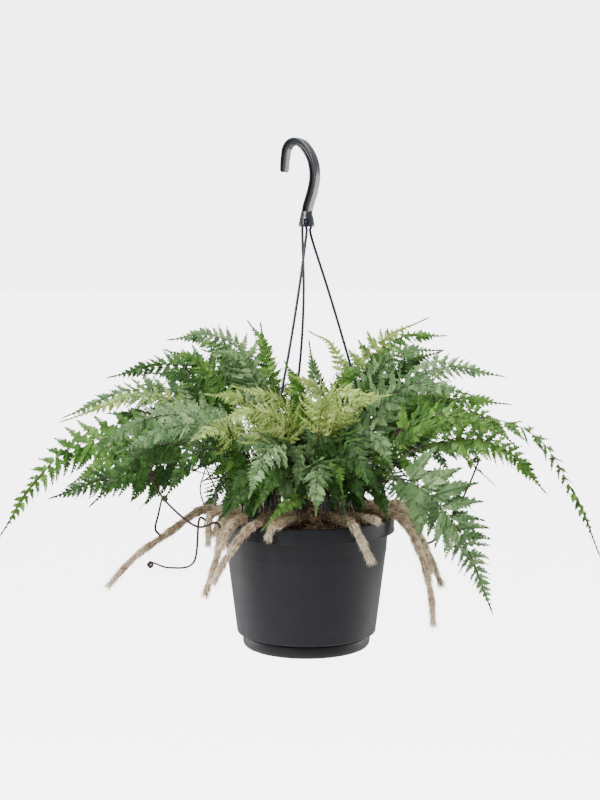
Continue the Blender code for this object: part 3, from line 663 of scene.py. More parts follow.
def skin(rings):
    """Points and faces of a closed body through rings of equal count."""
    count = len(rings[0])
    points = np.array([tuple(p) for ring in rings for p in ring])
    faces = [tuple(reversed(range(count))), tuple(range(len(points) - count, len(points)))]
    for r in range(len(rings) - 1):
        for k in range(count):
            n = (k + 1) % count
            base = r * count
            faces.append((base + k, base + n, base + count + n, base + count + k))
    return points, faces


def tube(line, radii, sides, side=Vector((0.0, 1.0, 0.0))):
    """Points and faces of a round tube, with a radius for every point of its line."""
    rings = []
    for point, radius, (_, across, lift) in zip(line, radii, frames(line, side)):
        ring = []
        for k in range(sides):
            turn = 2.0 * math.pi * k / sides
            ring.append(point + (across * math.cos(turn) + lift * math.sin(turn)) * radius)
        rings.append(ring)
    return skin(rings)


def rounded_section(corners, radius):
    """The corners of a flat outline, each rounded by a few points."""
    steps = 3
    outline = []
    count = len(corners)
    for i in range(count):
        here = Vector(corners[i])
        to_last = Vector(corners[i - 1]) - here
        to_next = Vector(corners[(i + 1) % count]) - here
        cut = min(radius, to_last.length * 0.45, to_next.length * 0.45)
        a, c = here + to_last.normalized() * cut, here + to_next.normalized() * cut
        for k in range(steps + 1):
            t = k / steps
            outline.append(a * (1 - t) ** 2 + here * 2 * t * (1 - t) + c * t * t)
    return outline


half, wide, thin = HOOK_THICK / 2, HOOK_WIDTH / 2, WEB / 2
inner = half - FLANGE
i_section = rounded_section(
    [
        (-half, -wide), (-inner, -wide), (-inner, -thin), (inner, -thin),
        (inner, -wide), (half, -wide), (half, wide), (inner, wide),
        (inner, thin), (-inner, thin), (-inner, wide), (-half, wide),
    ],
    HOOK_ROUNDING,
)
hook_turn = math.radians(HOOK_AZIMUTH + 90)
hook_across = Vector((math.cos(hook_turn), math.sin(hook_turn), 0.0))
hook_points = [polar(HOOK_AZIMUTH, along, COLLAR + up) for along, up in HOOK_LINE]
hook_line = smooth_line(hook_points, HOOK_RINGS)
rings = []
for i, (point, (ahead, across, lift)) in enumerate(zip(hook_line, frames(hook_line, hook_across))):
    along = i / (len(hook_line) - 1)
    size = 1.0 - 0.18 * max(0.0, (along - 0.6) / 0.4)
    if along > 0.975:
        size *= 1.0 - 0.25 * ((along - 0.975) / 0.025) ** 2
    rings.append([point + (lift * p.x + across * p.y) * size for p in i_section])
arch_points, arch_faces = skin(rings)
arch_mesh = bpy.data.meshes.new("arch")
arch_mesh.from_pydata(arch_points.tolist(), [], arch_faces)
arch = bpy.data.objects.new("arch", arch_mesh)
bpy.context.collection.objects.link(arch)

hook = turned(
    "hook_moulding",
    [
        (POLE, COLLAR), (COLLAR_RADIUS - 0.0008, COLLAR), (COLLAR_RADIUS - 0.0002, COLLAR + 0.0003),
        (COLLAR_RADIUS, COLLAR + 0.0009), (COLLAR_RADIUS, COLLAR + COLLAR_PLATE),
        (COLLAR_RADIUS - 0.0004, COLLAR + COLLAR_PLATE + 0.0008),
        (COLLAR_NECK + 0.0016, COLLAR + 0.0085),
        (COLLAR_NECK + 0.0004, COLLAR + 0.0125), (COLLAR_NECK, COLLAR + COLLAR_LENGTH - 0.0014),
        (COLLAR_NECK - 0.0006, COLLAR + COLLAR_LENGTH - 0.0004),
        (COLLAR_NECK - 0.0014, COLLAR + COLLAR_LENGTH), (POLE, COLLAR + COLLAR_LENGTH),
    ],
    64,
)
close_end(hook)
cut_with(hook, arch, "UNION")
for azimuth in SOCKET_AZIMUTHS:
    inward = SOCKET_CIRCLE - STRAND_RADIUS - CLEARANCE
    slot = polar(azimuth, inward + COLLAR_RADIUS / 2, COLLAR)
    slot_size = (COLLAR_RADIUS, 2 * (STRAND_RADIUS + CLEARANCE), SLOT_DEPTH)
    cut_with(hook, add_block(slot_size, slot, azimuth))
    depth = POCKET_TOP - COLLAR_PLATE
    inward = SOCKET_CIRCLE - POCKET_WIDTH / 2
    pocket = polar(azimuth, inward + COLLAR_RADIUS / 2, COLLAR + COLLAR_PLATE + depth / 2)
    cut_with(hook, add_block((COLLAR_RADIUS, POCKET_WIDTH, depth), pocket, azimuth))
hook_plastic = moulded_plastic(
    "charcoal_hook_plastic", (0.018, 0.021, 0.026), (0.026, 0.030, 0.036), 0.26, 0.36, 0.12, 0.7
)
finish_piece(hook, hook_plastic, 40.0)
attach(hook, "root")
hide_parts("hanger_hook")

# ---- Hanger strands ----
# Three bowed strands of stiff plastic. Each has a head held in the collar, and a thicker
# lower end that passes outwards through an ear and ends in a button.
STRAND_BOWS = ((0.0030, 0.0010), (0.0110, 0.0030), (0.0045, 0.0030))
CLIP_LENGTH = 0.0130
STRAND_HEAD = 0.0021
HEAD_HEIGHTS = (0.0040, 0.0038, 0.0032, 0.0006, 0.0002, -0.0001)
HEAD_SHARES = (0.35, 0.75, 1.0, 1.0, 0.9)
# Past the ear's outer face, as a reach and a share of the clip's radius.
BUTTON_STEPS = (
    (0.0, 1.0), (0.0001, 1.38), (0.0004, 1.43), (0.0010, 1.40), (0.0017, 1.1), (0.0021, 0.5),
)
STRAND_RINGS = 90
CLIP_RINGS = 10
CLIP_CIRCLE = 0.0872
CLIP_TURN = 0.0034


def strand_route(index):
    """A strand's start, its bowed line down to the clip's bend, and its ear's azimuth."""
    azimuth = EAR_AZIMUTHS[index]
    start = polar(SOCKET_AZIMUTHS[index], SOCKET_CIRCLE, COLLAR)
    foot = polar(azimuth, CLIP_CIRCLE, PEG_HEIGHT + CLIP_TURN + CLIP_LENGTH * 0.3)
    bow = Vector((*STRAND_BOWS[index], 0.0))
    low = start - Vector((0.0, 0.0, 0.010))
    middle = [low.lerp(foot, t) + bow * (4.0 * t * (1.0 - t)) for t in (0.2, 0.4, 0.6, 0.8)]
    return start, smooth_line([start, low] + middle + [foot], STRAND_RINGS), azimuth


strand_plastic = moulded_plastic(
    "slate_strand_plastic", (0.016, 0.022, 0.034), (0.026, 0.036, 0.055), 0.24, 0.34, 0.08, 0.5
)
for index in range(3):
    start, run, azimuth = strand_route(index)
    top = start + Vector((0.0, 0.0, COLLAR_PLATE + CLEARANCE))
    lift = Vector((0.0, 0.0, 1.0))
    line = [top + lift * height for height in HEAD_HEIGHTS]
    radii = [STRAND_HEAD * share for share in HEAD_SHARES] + [STRAND_RADIUS]
    total = sum((b - a).length for a, b in zip(run, run[1:]))
    done = 0.0
    for i, point in enumerate(run):
        done += (point - run[i - 1]).length if i else 0.0
        thick = max(0.0, 1.0 - (total - done) / CLIP_LENGTH)
        line.append(point)
        slim = STRAND_RADIUS * 1.1
        radii.append(slim + (CLIP_RADIUS - slim) * min(1.0, thick * 1.6))
    for k in range(1, CLIP_RINGS + 1):
        bend = math.radians(90.0 / CLIP_RINGS * k)
        reach = CLIP_CIRCLE + CLIP_TURN * (1.0 - math.cos(bend))
        line.append(polar(azimuth, reach, PEG_HEIGHT + CLIP_TURN * (1.0 - math.sin(bend))))
        radii.append(CLIP_RADIUS)
    outside = EAR_MIDDLE + EAR_DEPTH / 2 + CLEARANCE
    for reach, share in BUTTON_STEPS:
        line.append(polar(azimuth, outside + reach, PEG_HEIGHT))
        radii.append(CLIP_RADIUS * share)
    turn = math.radians(azimuth)
    points, faces = tube(line, radii, 20, Vector((-math.sin(turn), math.cos(turn), 0.0)))
    parts = [(points, faces, 0, tones_for(len(points), 0.5))]
    strand = gather("strand_%d" % (index + 1), parts, [strand_plastic])
    finish_piece(strand, strand_plastic, 50.0)
    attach(strand, "root")
    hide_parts("hanger_strand_%d" % (index + 1))

# ---- Rhizomes ----
# The creeping stems that give the fern its name: woody cores wholly wrapped in tan, hair-like
# scales that lie towards the tip. They rest on the mix, cross the rim and hang outside.
RHIZOME_RADIUS = 0.0050
RHIZOME_START = 0.0360
INNER_TOP = WALL_TOP - WALL
STEM_RINGS = 90
STEM_SIDES = 14
SCALES_PER_MM = 20
# Azimuth where a stem starts, azimuth where it crosses the rim, then points outside the rim:
# azimuth, millimetres out from where it lies on the rim, and millimetres above the rim.
RHIZOMES = {
    "left_long": (
        174, 177, (178, 17, 3), (180, 45, -17), (180, 79, -41), (180, 99, -60), (180, 115, -79)
    ),
    "left_short": (194, 192, (191, 5, 0), (190, 7, -30)),
    "front_left_short": (214, 212, (213, 7, -4), (216, 15, -26)),
    "front_left_long": (234, 222.5, (221, 13, -8), (220, 24, -38), (219, 35, -70)),
    "front_inner": (272, 254),
    "front_right": (295, 298, (301, 3, -6), (308, 7, -34)),
    "right_stub": (315, 316),
    "right_long": (338, 340, (342, 10, -4), (346, 26, -40), (349, 35, -80), (350, 38, -116)),
    "right_mid": (0, 4, (4, 9, -4), (2, 29, -36), (0, 47, -78)),
    "right_back": (23, 25, (25, 15, 4), (24, 35, -3), (23, 41, -19)),
    "back_right": (52, 50, (49, 7, -5), (47, 19, -48)),
    "back": (84, 85, (86, 6, -8), (87, 13, -42)),
    "back_left": (142, 143, (144, 11, -4), (146, 27, -36)),
}
# Side shoots that lie matted against the front left stems and beside the long right one.
SHOOTS = {
    "front_left_mat": (236, 226.5, (225, 10, 2), (224, 21, -20)),
    "front_left_beside": (246, 239.5, (236, 12, -2), (228, 24, -30), (223, 31, -56)),
    "front_left_tip": (256, 249, (248, 5, -8)),
    "right_beside": (330, 346, (349, 10, 2), (353, 26, -30), (355, 34, -62)),
}


def rhizome_line(name, count):
    """A stem's middle line, from its start on the mix over the rim to its tip."""
    start, crossing, *beyond = (RHIZOMES | SHOOTS)[name]
    points = []
    for share in (0.0, 0.45):
        radius = RHIZOME_START + (INNER_TOP - RHIZOME_START) * share
        azimuth = start + (crossing - start) * share
        height = mix_height(radius) + RHIZOME_RADIUS + CLEARANCE + 0.0012 + 0.006 * share
        points.append(polar(azimuth, radius, height))
    over = RHIZOME_RADIUS + CLEARANCE + 0.0009
    points.append(polar(crossing, INNER_TOP - 0.0010, over + 0.0002))
    points.append(polar(crossing, RIM_RADIUS, over - 0.0002))
    for azimuth, out, height in beyond:
        points.append(polar(azimuth, RIM_RADIUS + RHIZOME_RADIUS + out / 1000, height / 1000))
    if not beyond:
        points.append(polar(crossing, RIM_RADIUS + 0.006, over - 0.0010))
    return smooth_line(points, count)


def rhizome_radius(t):
    """The woody core is stoutest where it crosses the rim and thins towards its tip."""
    return RHIZOME_RADIUS * (0.62 + 0.20 * min(1.0, t / 0.15) - 0.34 * max(0.0, t - 0.35) / 0.65)


deselect()
bpy.ops.mesh.primitive_cone_add(vertices=3, radius1=0.5, radius2=0.0, depth=1.0, location=(0, 0, 0))
scale_shape = bpy.context.object
bpy.ops.object.mode_set(mode="EDIT")
bpy.ops.mesh.select_all(action="SELECT")
bpy.ops.mesh.bisect(plane_co=(0, 0, 0.05), plane_no=(0, 0, 1))
bpy.ops.object.mode_set(mode="OBJECT")
SCALE_POINTS = np.array([v.co for v in scale_shape.data.vertices])
SCALE_FACES = [tuple(p.vertices) for p in scale_shape.data.polygons]
bpy.data.objects.remove(scale_shape)
# A scale lies along the first axis, from near 0 at its root to its blunt tip.
SCALE_POINTS = SCALE_POINTS[:, [2, 0, 1]]
SCALE_POINTS[:, 0] += 0.5

fur_material, shader, nodes, links = plain_material("tan_rhizome_fur", (0.5, 0.38, 0.25), 0.8)
shade = tone_channels(nodes, links)["Red"]
stops = [
    (0.0, (0.10, 0.058, 0.030)), (0.35, (0.38, 0.27, 0.16)),
    (0.7, (0.72, 0.56, 0.36)), (1.0, (0.93, 0.84, 0.65)),
]
links.new(ramp(nodes, links, shade, stops), shader.inputs["Base Color"])
shader.inputs["Sheen Weight"].default_value = 0.12
shader.inputs["Sheen Roughness"].default_value = 0.5


def furry_rhizome(name, seed):
    """A knobbly core, thickly set with flat scales that lean out a little towards the tip."""
    chance = np.random.default_rng(seed)
    line = rhizome_line(name, STEM_RINGS)
    length = sum((b - a).length for a, b in zip(line, line[1:]))
    radii = []
    for i in range(len(line)):
        t = i / (len(line) - 1)
        knobs = 1.0 + 0.16 * math.sin(i * 0.43 + seed) + 0.12 * math.sin(i * 1.17 + seed * 2)
        end = min(1.0, math.sqrt(max(0.0, 1.0 - t) / 0.04) + 0.15)
        radii.append(rhizome_radius(t) * knobs * end)
    square = frames(line, Vector((0.0, 1.0, 0.0)))
    points, faces = tube(line, radii, STEM_SIDES)
    parts = [(points, faces, 0, tones_for(len(points), 0.12))]
    for _ in range(int(length / 0.001 * SCALES_PER_MM)):
        t = chance.random() ** 0.95
        place = t * (len(line) - 1)
        i = min(int(place), len(line) - 2)
        point = line[i].lerp(line[i + 1], place - i)
        ahead, across, lift = square[i]
        turn = chance.uniform(0.0, 2.0 * math.pi)
        out = across * math.cos(turn) + lift * math.sin(turn)
        around = across * -math.sin(turn) + lift * math.cos(turn)
        radius = radii[i] * chance.uniform(0.80, 1.02)
        stray = abs(chance.normal(0.0, 0.24)) + (0.55 if chance.random() < 0.07 else 0.0)
        lean = 0.10 + stray + 0.30 * max(0.0, t - 0.90) / 0.10
        way = (ahead + around * chance.normal(0.0, 0.28) + out * lean).normalized()
        flat = way.cross(out).normalized()
        rise = flat.cross(way)
        long = chance.uniform(0.0035, 0.0085)
        broad = chance.uniform(0.00032, 0.00078)
        shape = SCALE_POINTS * np.array([long, broad, broad * 0.45])
        basis = np.array([tuple(way), tuple(flat), tuple(rise)])
        corners = shape @ basis + np.array(point + out * radius)
        patch = 0.12 * math.sin(place * 0.31 + seed) + 0.10 * math.sin(place * 0.83 + turn)
        shade = float(np.clip(0.56 + 0.34 * t + patch + chance.normal(0.0, 0.20), 0.0, 1.0))
        tints = tones_for(len(corners), shade)
        # Each scale is darker at its root, down in the fur, and paler at its tip; the darker roots
        # are painted shade in the gaps of the fur.
        tints[:, 0] = np.clip(shade - 0.15 + 0.30 * SCALE_POINTS[:, 0], 0.0, 1.0)
        parts.append((corners, SCALE_FACES, 0, tints))
    return gather("rhizome_fur_" + name, parts, [fur_material])


FIRST_STEM_SEED = 100
for number, name in enumerate(RHIZOMES | SHOOTS):
    rhizome = furry_rhizome(name, FIRST_STEM_SEED + number)
    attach(rhizome, "root")
    if name in RHIZOMES:
        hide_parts("rhizome_" + name)

# ---- Fronds ----
# Each frond is a thin brown stalk that carries a triangular leaf, cut three times over into
# small lobed leaflets. Young fronds are yellow green, full ones blue green to dark green. The
# dark green is partly the deeper green of some fronds and partly painted shade, given to the
# fronds that lie deep in and under the crown.
STALK_RADIUS = 0.0009
# Shares of a leaflet's length: the cupping of its sides, the sag of its tip, how deep it is
# folded along the midrib and half its thickness there.
LEAF_CUP = 0.35
LEAF_SAG = 0.05
LEAF_FOLD = -0.03
LEAF_THICK = 0.012
# A branch shorter than this is one leaflet, and a leaflet shorter than this isn't grown.
LEAST_BRANCH = 0.0125
LEAST_LEAFLET = 0.0021
MOST_LEAFLET = 0.0170
LOBED_FROM = 0.0062
BRANCH_STEPS = 6
BRANCH_BEND = 0.11
BRANCH_DROOP = 0.08
# Leaves that are filled less than this are young and slender.
SLENDER = 0.30
FROND_STEPS = 120
STALK_SIDES = 6


def outline_leaflet(half_outline, ridge):
    """A thin closed leaflet of unit length, folded along its midrib, from one half outline."""
    rim = half_outline + [(x, -y) for x, y in reversed(half_outline) if y > 0.0]
    deselect()
    bpy.ops.mesh.primitive_circle_add(vertices=len(rim), radius=0.5, location=(0, 0, 0))
    leaf = bpy.context.object
    for vertex, (x, y) in zip(leaf.data.vertices, rim):
        vertex.co = (x, y, LEAF_CUP * y * y - LEAF_SAG * x * x)
    points = [tuple(v.co) for v in leaf.data.vertices]
    bpy.data.objects.remove(leaf)
    count = len(points)
    points += [(x, 0.0, LEAF_FOLD + LEAF_THICK - LEAF_SAG * x * x) for x in ridge]
    points += [(x, 0.0, LEAF_FOLD - LEAF_THICK - LEAF_SAG * x * x) for x in ridge]
    faces = []
    for k in range(count):
        n = (k + 1) % count
        a = min(range(len(ridge)), key=lambda s: abs(ridge[s] - points[k][0]))
        b = min(range(len(ridge)), key=lambda s: abs(ridge[s] - points[n][0]))
        for base, turn in ((count, False), (count + len(ridge), True)):
            made = [(k, n, base + a)] if a == b else [(k, n, base + b, base + a)]
            faces += [tuple(reversed(f)) for f in made] if turn else made
    return np.array(points), faces


LOBED = outline_leaflet(
    [
        (0.00, 0.05), (0.07, 0.14), (0.13, 0.31), (0.27, 0.37), (0.30, 0.21), (0.36, 0.32),
        (0.49, 0.34), (0.52, 0.18), (0.58, 0.26), (0.69, 0.25), (0.72, 0.13), (0.86, 0.12),
        (1.00, 0.0),
    ],
    (0.0, 0.28, 0.50, 0.74),
)
TOOTHED = outline_leaflet(
    [
        (0.00, 0.03), (0.16, 0.28), (0.38, 0.33), (0.43, 0.17), (0.64, 0.24), (0.69, 0.10),
        (1.0, 0.0),
    ],
    (0.0, 0.40, 0.72),
)


def place_leaflet(shape, root, ahead, side, length, width, tint):
    """A leaflet at its place and size, paler towards its edges; tint is its shade and place."""
    points, faces = shape
    lift = ahead.cross(side)
    basis = np.array([tuple(ahead), tuple(side), tuple(lift)])
    corners = (points * np.array([length, width, length])) @ basis + np.array(root)
    tints = tones_for(len(corners), tint[0], tint[1])
    tints[:, 2] = np.clip(np.abs(points[:, 1]) * 3.2, 0.0, 1.0)
    return corners, faces, 0, tints


def place_pinna(parts, chance, root, ahead, side, lift, length, along, full):
    """One side branch of a leaf: a thin midrib with leaflets left and right."""
    bend = BRANCH_BEND * length
    droop = BRANCH_DROOP * length
    last = BRANCH_STEPS - 1
    line = []
    for k in range(BRANCH_STEPS):
        t = k / last
        line.append(root + ahead * length * t + side * bend * t * t - lift * droop * t * t)
    tone = (float(np.clip(0.5 + chance.normal(0.0, 0.30), 0, 1)), along)
    slim = 1.0 if full > SLENDER else 0.72
    if length < LEAST_BRANCH:
        shape = TOOTHED if length < 0.0060 else LOBED
        parts.append(place_leaflet(shape, root, ahead, side, length, length * 1.02 * slim, tone))
        return
    # The leaflets run together along the midrib in a narrow wing of leaf.
    reach = line[-1] - root
    wing = reach.normalized()
    wing_side = lift.cross(wing).normalized()
    wing_side = wing_side if wing_side.dot(side) > 0.0 else -wing_side
    broad = length * full * (0.80 if full > SLENDER else 0.35)
    parts.append(place_leaflet(TOOTHED, root, wing, wing_side, reach.length, broad, tone))
    radii = [STALK_RADIUS * (0.34 - 0.22 * k / last) for k in range(BRANCH_STEPS)]
    points, faces = tube(line, radii, 3, lift)
    parts.append((points, faces, 1, tones_for(len(points), 0.5, along)))
    t = 0.07
    gap = max(0.085, min(0.17, 0.0054 / length))
    while t < 0.93:
        i = min(int(t * last), last - 1)
        spot = line[i].lerp(line[i + 1], t * last - i)
        forward = (line[i + 1] - line[i]).normalized()
        out = lift.cross(forward).normalized()
        for turn in (1, -1):
            open_angle = math.radians(56.0 - 16.0 * t + chance.normal(0.0, 4.0))
            direction = forward * math.cos(open_angle) + out * math.sin(open_angle) * turn
            direction += lift * chance.normal(-0.06, 0.24)
            direction.normalize()
            across = lift.cross(direction).normalized()
            size = length * full * (1.0 - t) ** 0.72 * chance.uniform(0.88, 1.10)
            if turn == 1:
                size *= 0.94
            size = min(size, MOST_LEAFLET)
            if size < LEAST_LEAFLET:
                continue
            spread = size * slim * (1.05 if size > 0.006 else 1.18)
            shape = LOBED if size > LOBED_FROM else TOOTHED
            foot = spot + forward * (length * gap * 0.28 * turn)
            tint = (float(np.clip(tone[0] + chance.normal(0.0, 0.17), 0, 1)), along)
            parts.append(place_leaflet(shape, foot, direction, across, size, spread, tint))
        t += gap * (0.30 + 0.70 * (1.0 - t)) + 0.012
    tip_length = min(0.010, length * 0.22)
    forward = (line[-1] - line[-2]).normalized()
    across = lift.cross(forward).normalized()
    tip = line[-2].lerp(line[-1], 0.3)
    parts.append(place_leaflet(TOOTHED, tip, forward, across, tip_length, tip_length * 0.6, tone))


def leafy_frond(name, route, bare, half_width, lean, seed, materials, full):
    """A whole frond; lean tips the leaf's face from upwards to the front, in degrees."""
    chance = np.random.default_rng(seed)
    line = smooth_line(route, FROND_STEPS + 1)
    blade = sum((b - a).length for a, b in zip(line, line[1:]))
    face = Vector((0.0, -math.sin(math.radians(lean)), math.cos(math.radians(lean))))
    square = []
    for i in range(FROND_STEPS + 1):
        ahead = (line[min(i + 3, FROND_STEPS)] - line[max(i - 3, 0)]).normalized()
        lift = (face - ahead * face.dot(ahead)).normalized()
        square.append((ahead, lift.cross(ahead), lift))
    parts = []
    shares = [i / FROND_STEPS for i in range(FROND_STEPS + 1)]
    radii = [STALK_RADIUS * (1.0 - 0.78 * share ** 1.3) for share in shares]
    points, faces = tube(line[::2], radii[::2], STALK_SIDES, square[0][1])
    tints = tones_for(len(points), 0.5)
    tints[:, 1] = np.repeat(np.arange(len(line[::2])) / (len(line[::2]) - 1), STALK_SIDES)
    parts.append((points, faces, 1, tints))
    u = 0.0
    while u < 0.985:
        place = (bare + (1.0 - bare) * u) * FROND_STEPS
        i = min(int(place), FROND_STEPS - 1)
        spot = line[i].lerp(line[i + 1], place - i)
        ahead, across, lift = square[i]
        width = half_width * min(1.0, 0.86 + 1.6 * u) * (1.0 - u) ** 0.92
        for way in (1, -1):
            length = width * chance.uniform(0.92, 1.06)
            open_angle = math.radians(66.0 - 20.0 * u + chance.normal(0.0, 3.0))
            direction = ahead * math.cos(open_angle) + across * math.sin(open_angle) * way
            direction = direction - lift * 0.14 + lift * chance.normal(0.0, 0.12)
            direction.normalize()
            forward = (ahead - direction * ahead.dot(direction)).normalized()
            forward = Matrix.Rotation(chance.normal(0.0, 0.30), 3, direction) @ forward
            up = direction.cross(forward) * way
            if up.dot(lift) < 0.0:
                up = -up
            foot = spot + ahead * (half_width * 0.05 * way)
            # Leaflets lie in the plane of the branch and the midrib.
            place_pinna(parts, chance, foot, direction, forward, up, length, u, full)
        gap = 0.094 * (0.30 + 0.70 * (1.0 - u))
        if u > 0.55:
            # Towards the tip the branches run together along the spine.
            stretch = gap * (1.0 - bare) * blade * 2.6
            wing = min(0.0070, max(0.0032, width * 0.75))
            parts.append(place_leaflet(TOOTHED, spot, ahead, across, stretch, wing, (0.5, u)))
        u += gap
    ahead, across, lift = square[-1]
    parts.append(place_leaflet(TOOTHED, line[-3], ahead, across, 0.007, 0.0032, (0.5, 1.0)))
    return gather(name, parts, materials)


LEAF_ROUGHNESS = 0.5


def leaf_green(name, deep, middle, pale):
    """Leaf tissue: patchy green, paler along the edges of the lobes, with a finely patchy gloss and
    faint relief.
    """
    material, shader, nodes, links = plain_material(name, middle, LEAF_ROUGHNESS)
    shader.inputs["Specular IOR Level"].default_value = 0.28
    channels = tone_channels(nodes, links)
    place = nodes.new("ShaderNodeTexCoord").outputs["Object"]
    patches = noise(nodes, links, place, 60.0, 4.0, 0.7)
    mixed = nodes.new("ShaderNodeMath")
    mixed.operation = "MULTIPLY_ADD"
    mixed.inputs[1].default_value = 0.6
    links.new(patches, mixed.inputs[0])
    links.new(span(nodes, links, channels["Red"], -0.05, 0.55), mixed.inputs[2])
    stops = [(0.20, deep), (0.55, middle), (0.92, pale)]
    colour = ramp(nodes, links, mixed.outputs["Value"], stops)
    edge = nodes.new("ShaderNodeMix")
    edge.data_type = "RGBA"
    links.new(span(nodes, links, channels["Blue"], 0.0, 0.28), edge.inputs["Factor"])
    links.new(colour, edge.inputs["A"])
    edge.inputs["B"].default_value = (*pale, 1.0)
    links.new(edge.outputs["Result"], shader.inputs["Base Color"])
    fine = noise(nodes, links, place, 1400.0, 3.0)
    gloss = span(nodes, links, fine, LEAF_ROUGHNESS - 0.08, LEAF_ROUGHNESS + 0.12, 0.3, 0.7)
    links.new(gloss, shader.inputs["Roughness"])
    bump(nodes, links, shader, fine, 0.25, 0.0002)
    return material


def stalk_brown(name, dark, light):
    """A smooth, hard stalk that changes from dark at its foot to light at its tip."""
    material, shader, nodes, links = plain_material(name, dark, 0.4)
    along = tone_channels(nodes, links)["Green"]
    colour = ramp(nodes, links, along, [(0.1, dark), (0.95, light)])
    links.new(colour, shader.inputs["Base Color"])
    place = nodes.new("ShaderNodeTexCoord").outputs["Object"]
    bump(nodes, links, shader, noise(nodes, links, place, 900.0, 3.0), 0.3, 0.0003)
    return material


# How far the leaflets fill a leaf: the longest one as a share of its branch.
FULLNESS = {"mid": 0.36, "blue": 0.35, "dark": 0.36, "young": 0.29}
LEAVES = {
    "mid": leaf_green(
        "leaf_mid_green", (0.014, 0.060, 0.005), (0.060, 0.170, 0.018), (0.18, 0.35, 0.060)
    ),
    "blue": leaf_green(
        "leaf_blue_green", (0.028, 0.085, 0.022), (0.105, 0.215, 0.072), (0.29, 0.43, 0.190)
    ),
    # The dark green is the mid green at under half its brightness: painted shade on the fronds deep
    # in and under the crown, besides darker fronds elsewhere.
    "dark": leaf_green(
        "leaf_dark_green_and_painted_shade", (0.006, 0.028, 0.003), (0.022, 0.075, 0.008), (0.07, 0.17, 0.028)
    ),
    "young": leaf_green(
        "leaf_young_green", (0.13, 0.24, 0.022), (0.33, 0.47, 0.095), (0.62, 0.74, 0.260)
    ),
}
STALKS = {
    "mid": stalk_brown("stalk_brown", (0.060, 0.024, 0.014), (0.11, 0.10, 0.035)),
    "blue": stalk_brown("stalk_dark_brown", (0.040, 0.020, 0.014), (0.045, 0.035, 0.025)),
    # The dark stalk is darkened along with its leaf, painted shade too.
    "dark": stalk_brown("stalk_black_brown_and_painted_shade", (0.022, 0.012, 0.010), (0.035, 0.045, 0.020)),
    "young": stalk_brown("stalk_red_brown", (0.14, 0.045, 0.025), (0.22, 0.26, 0.09)),
}

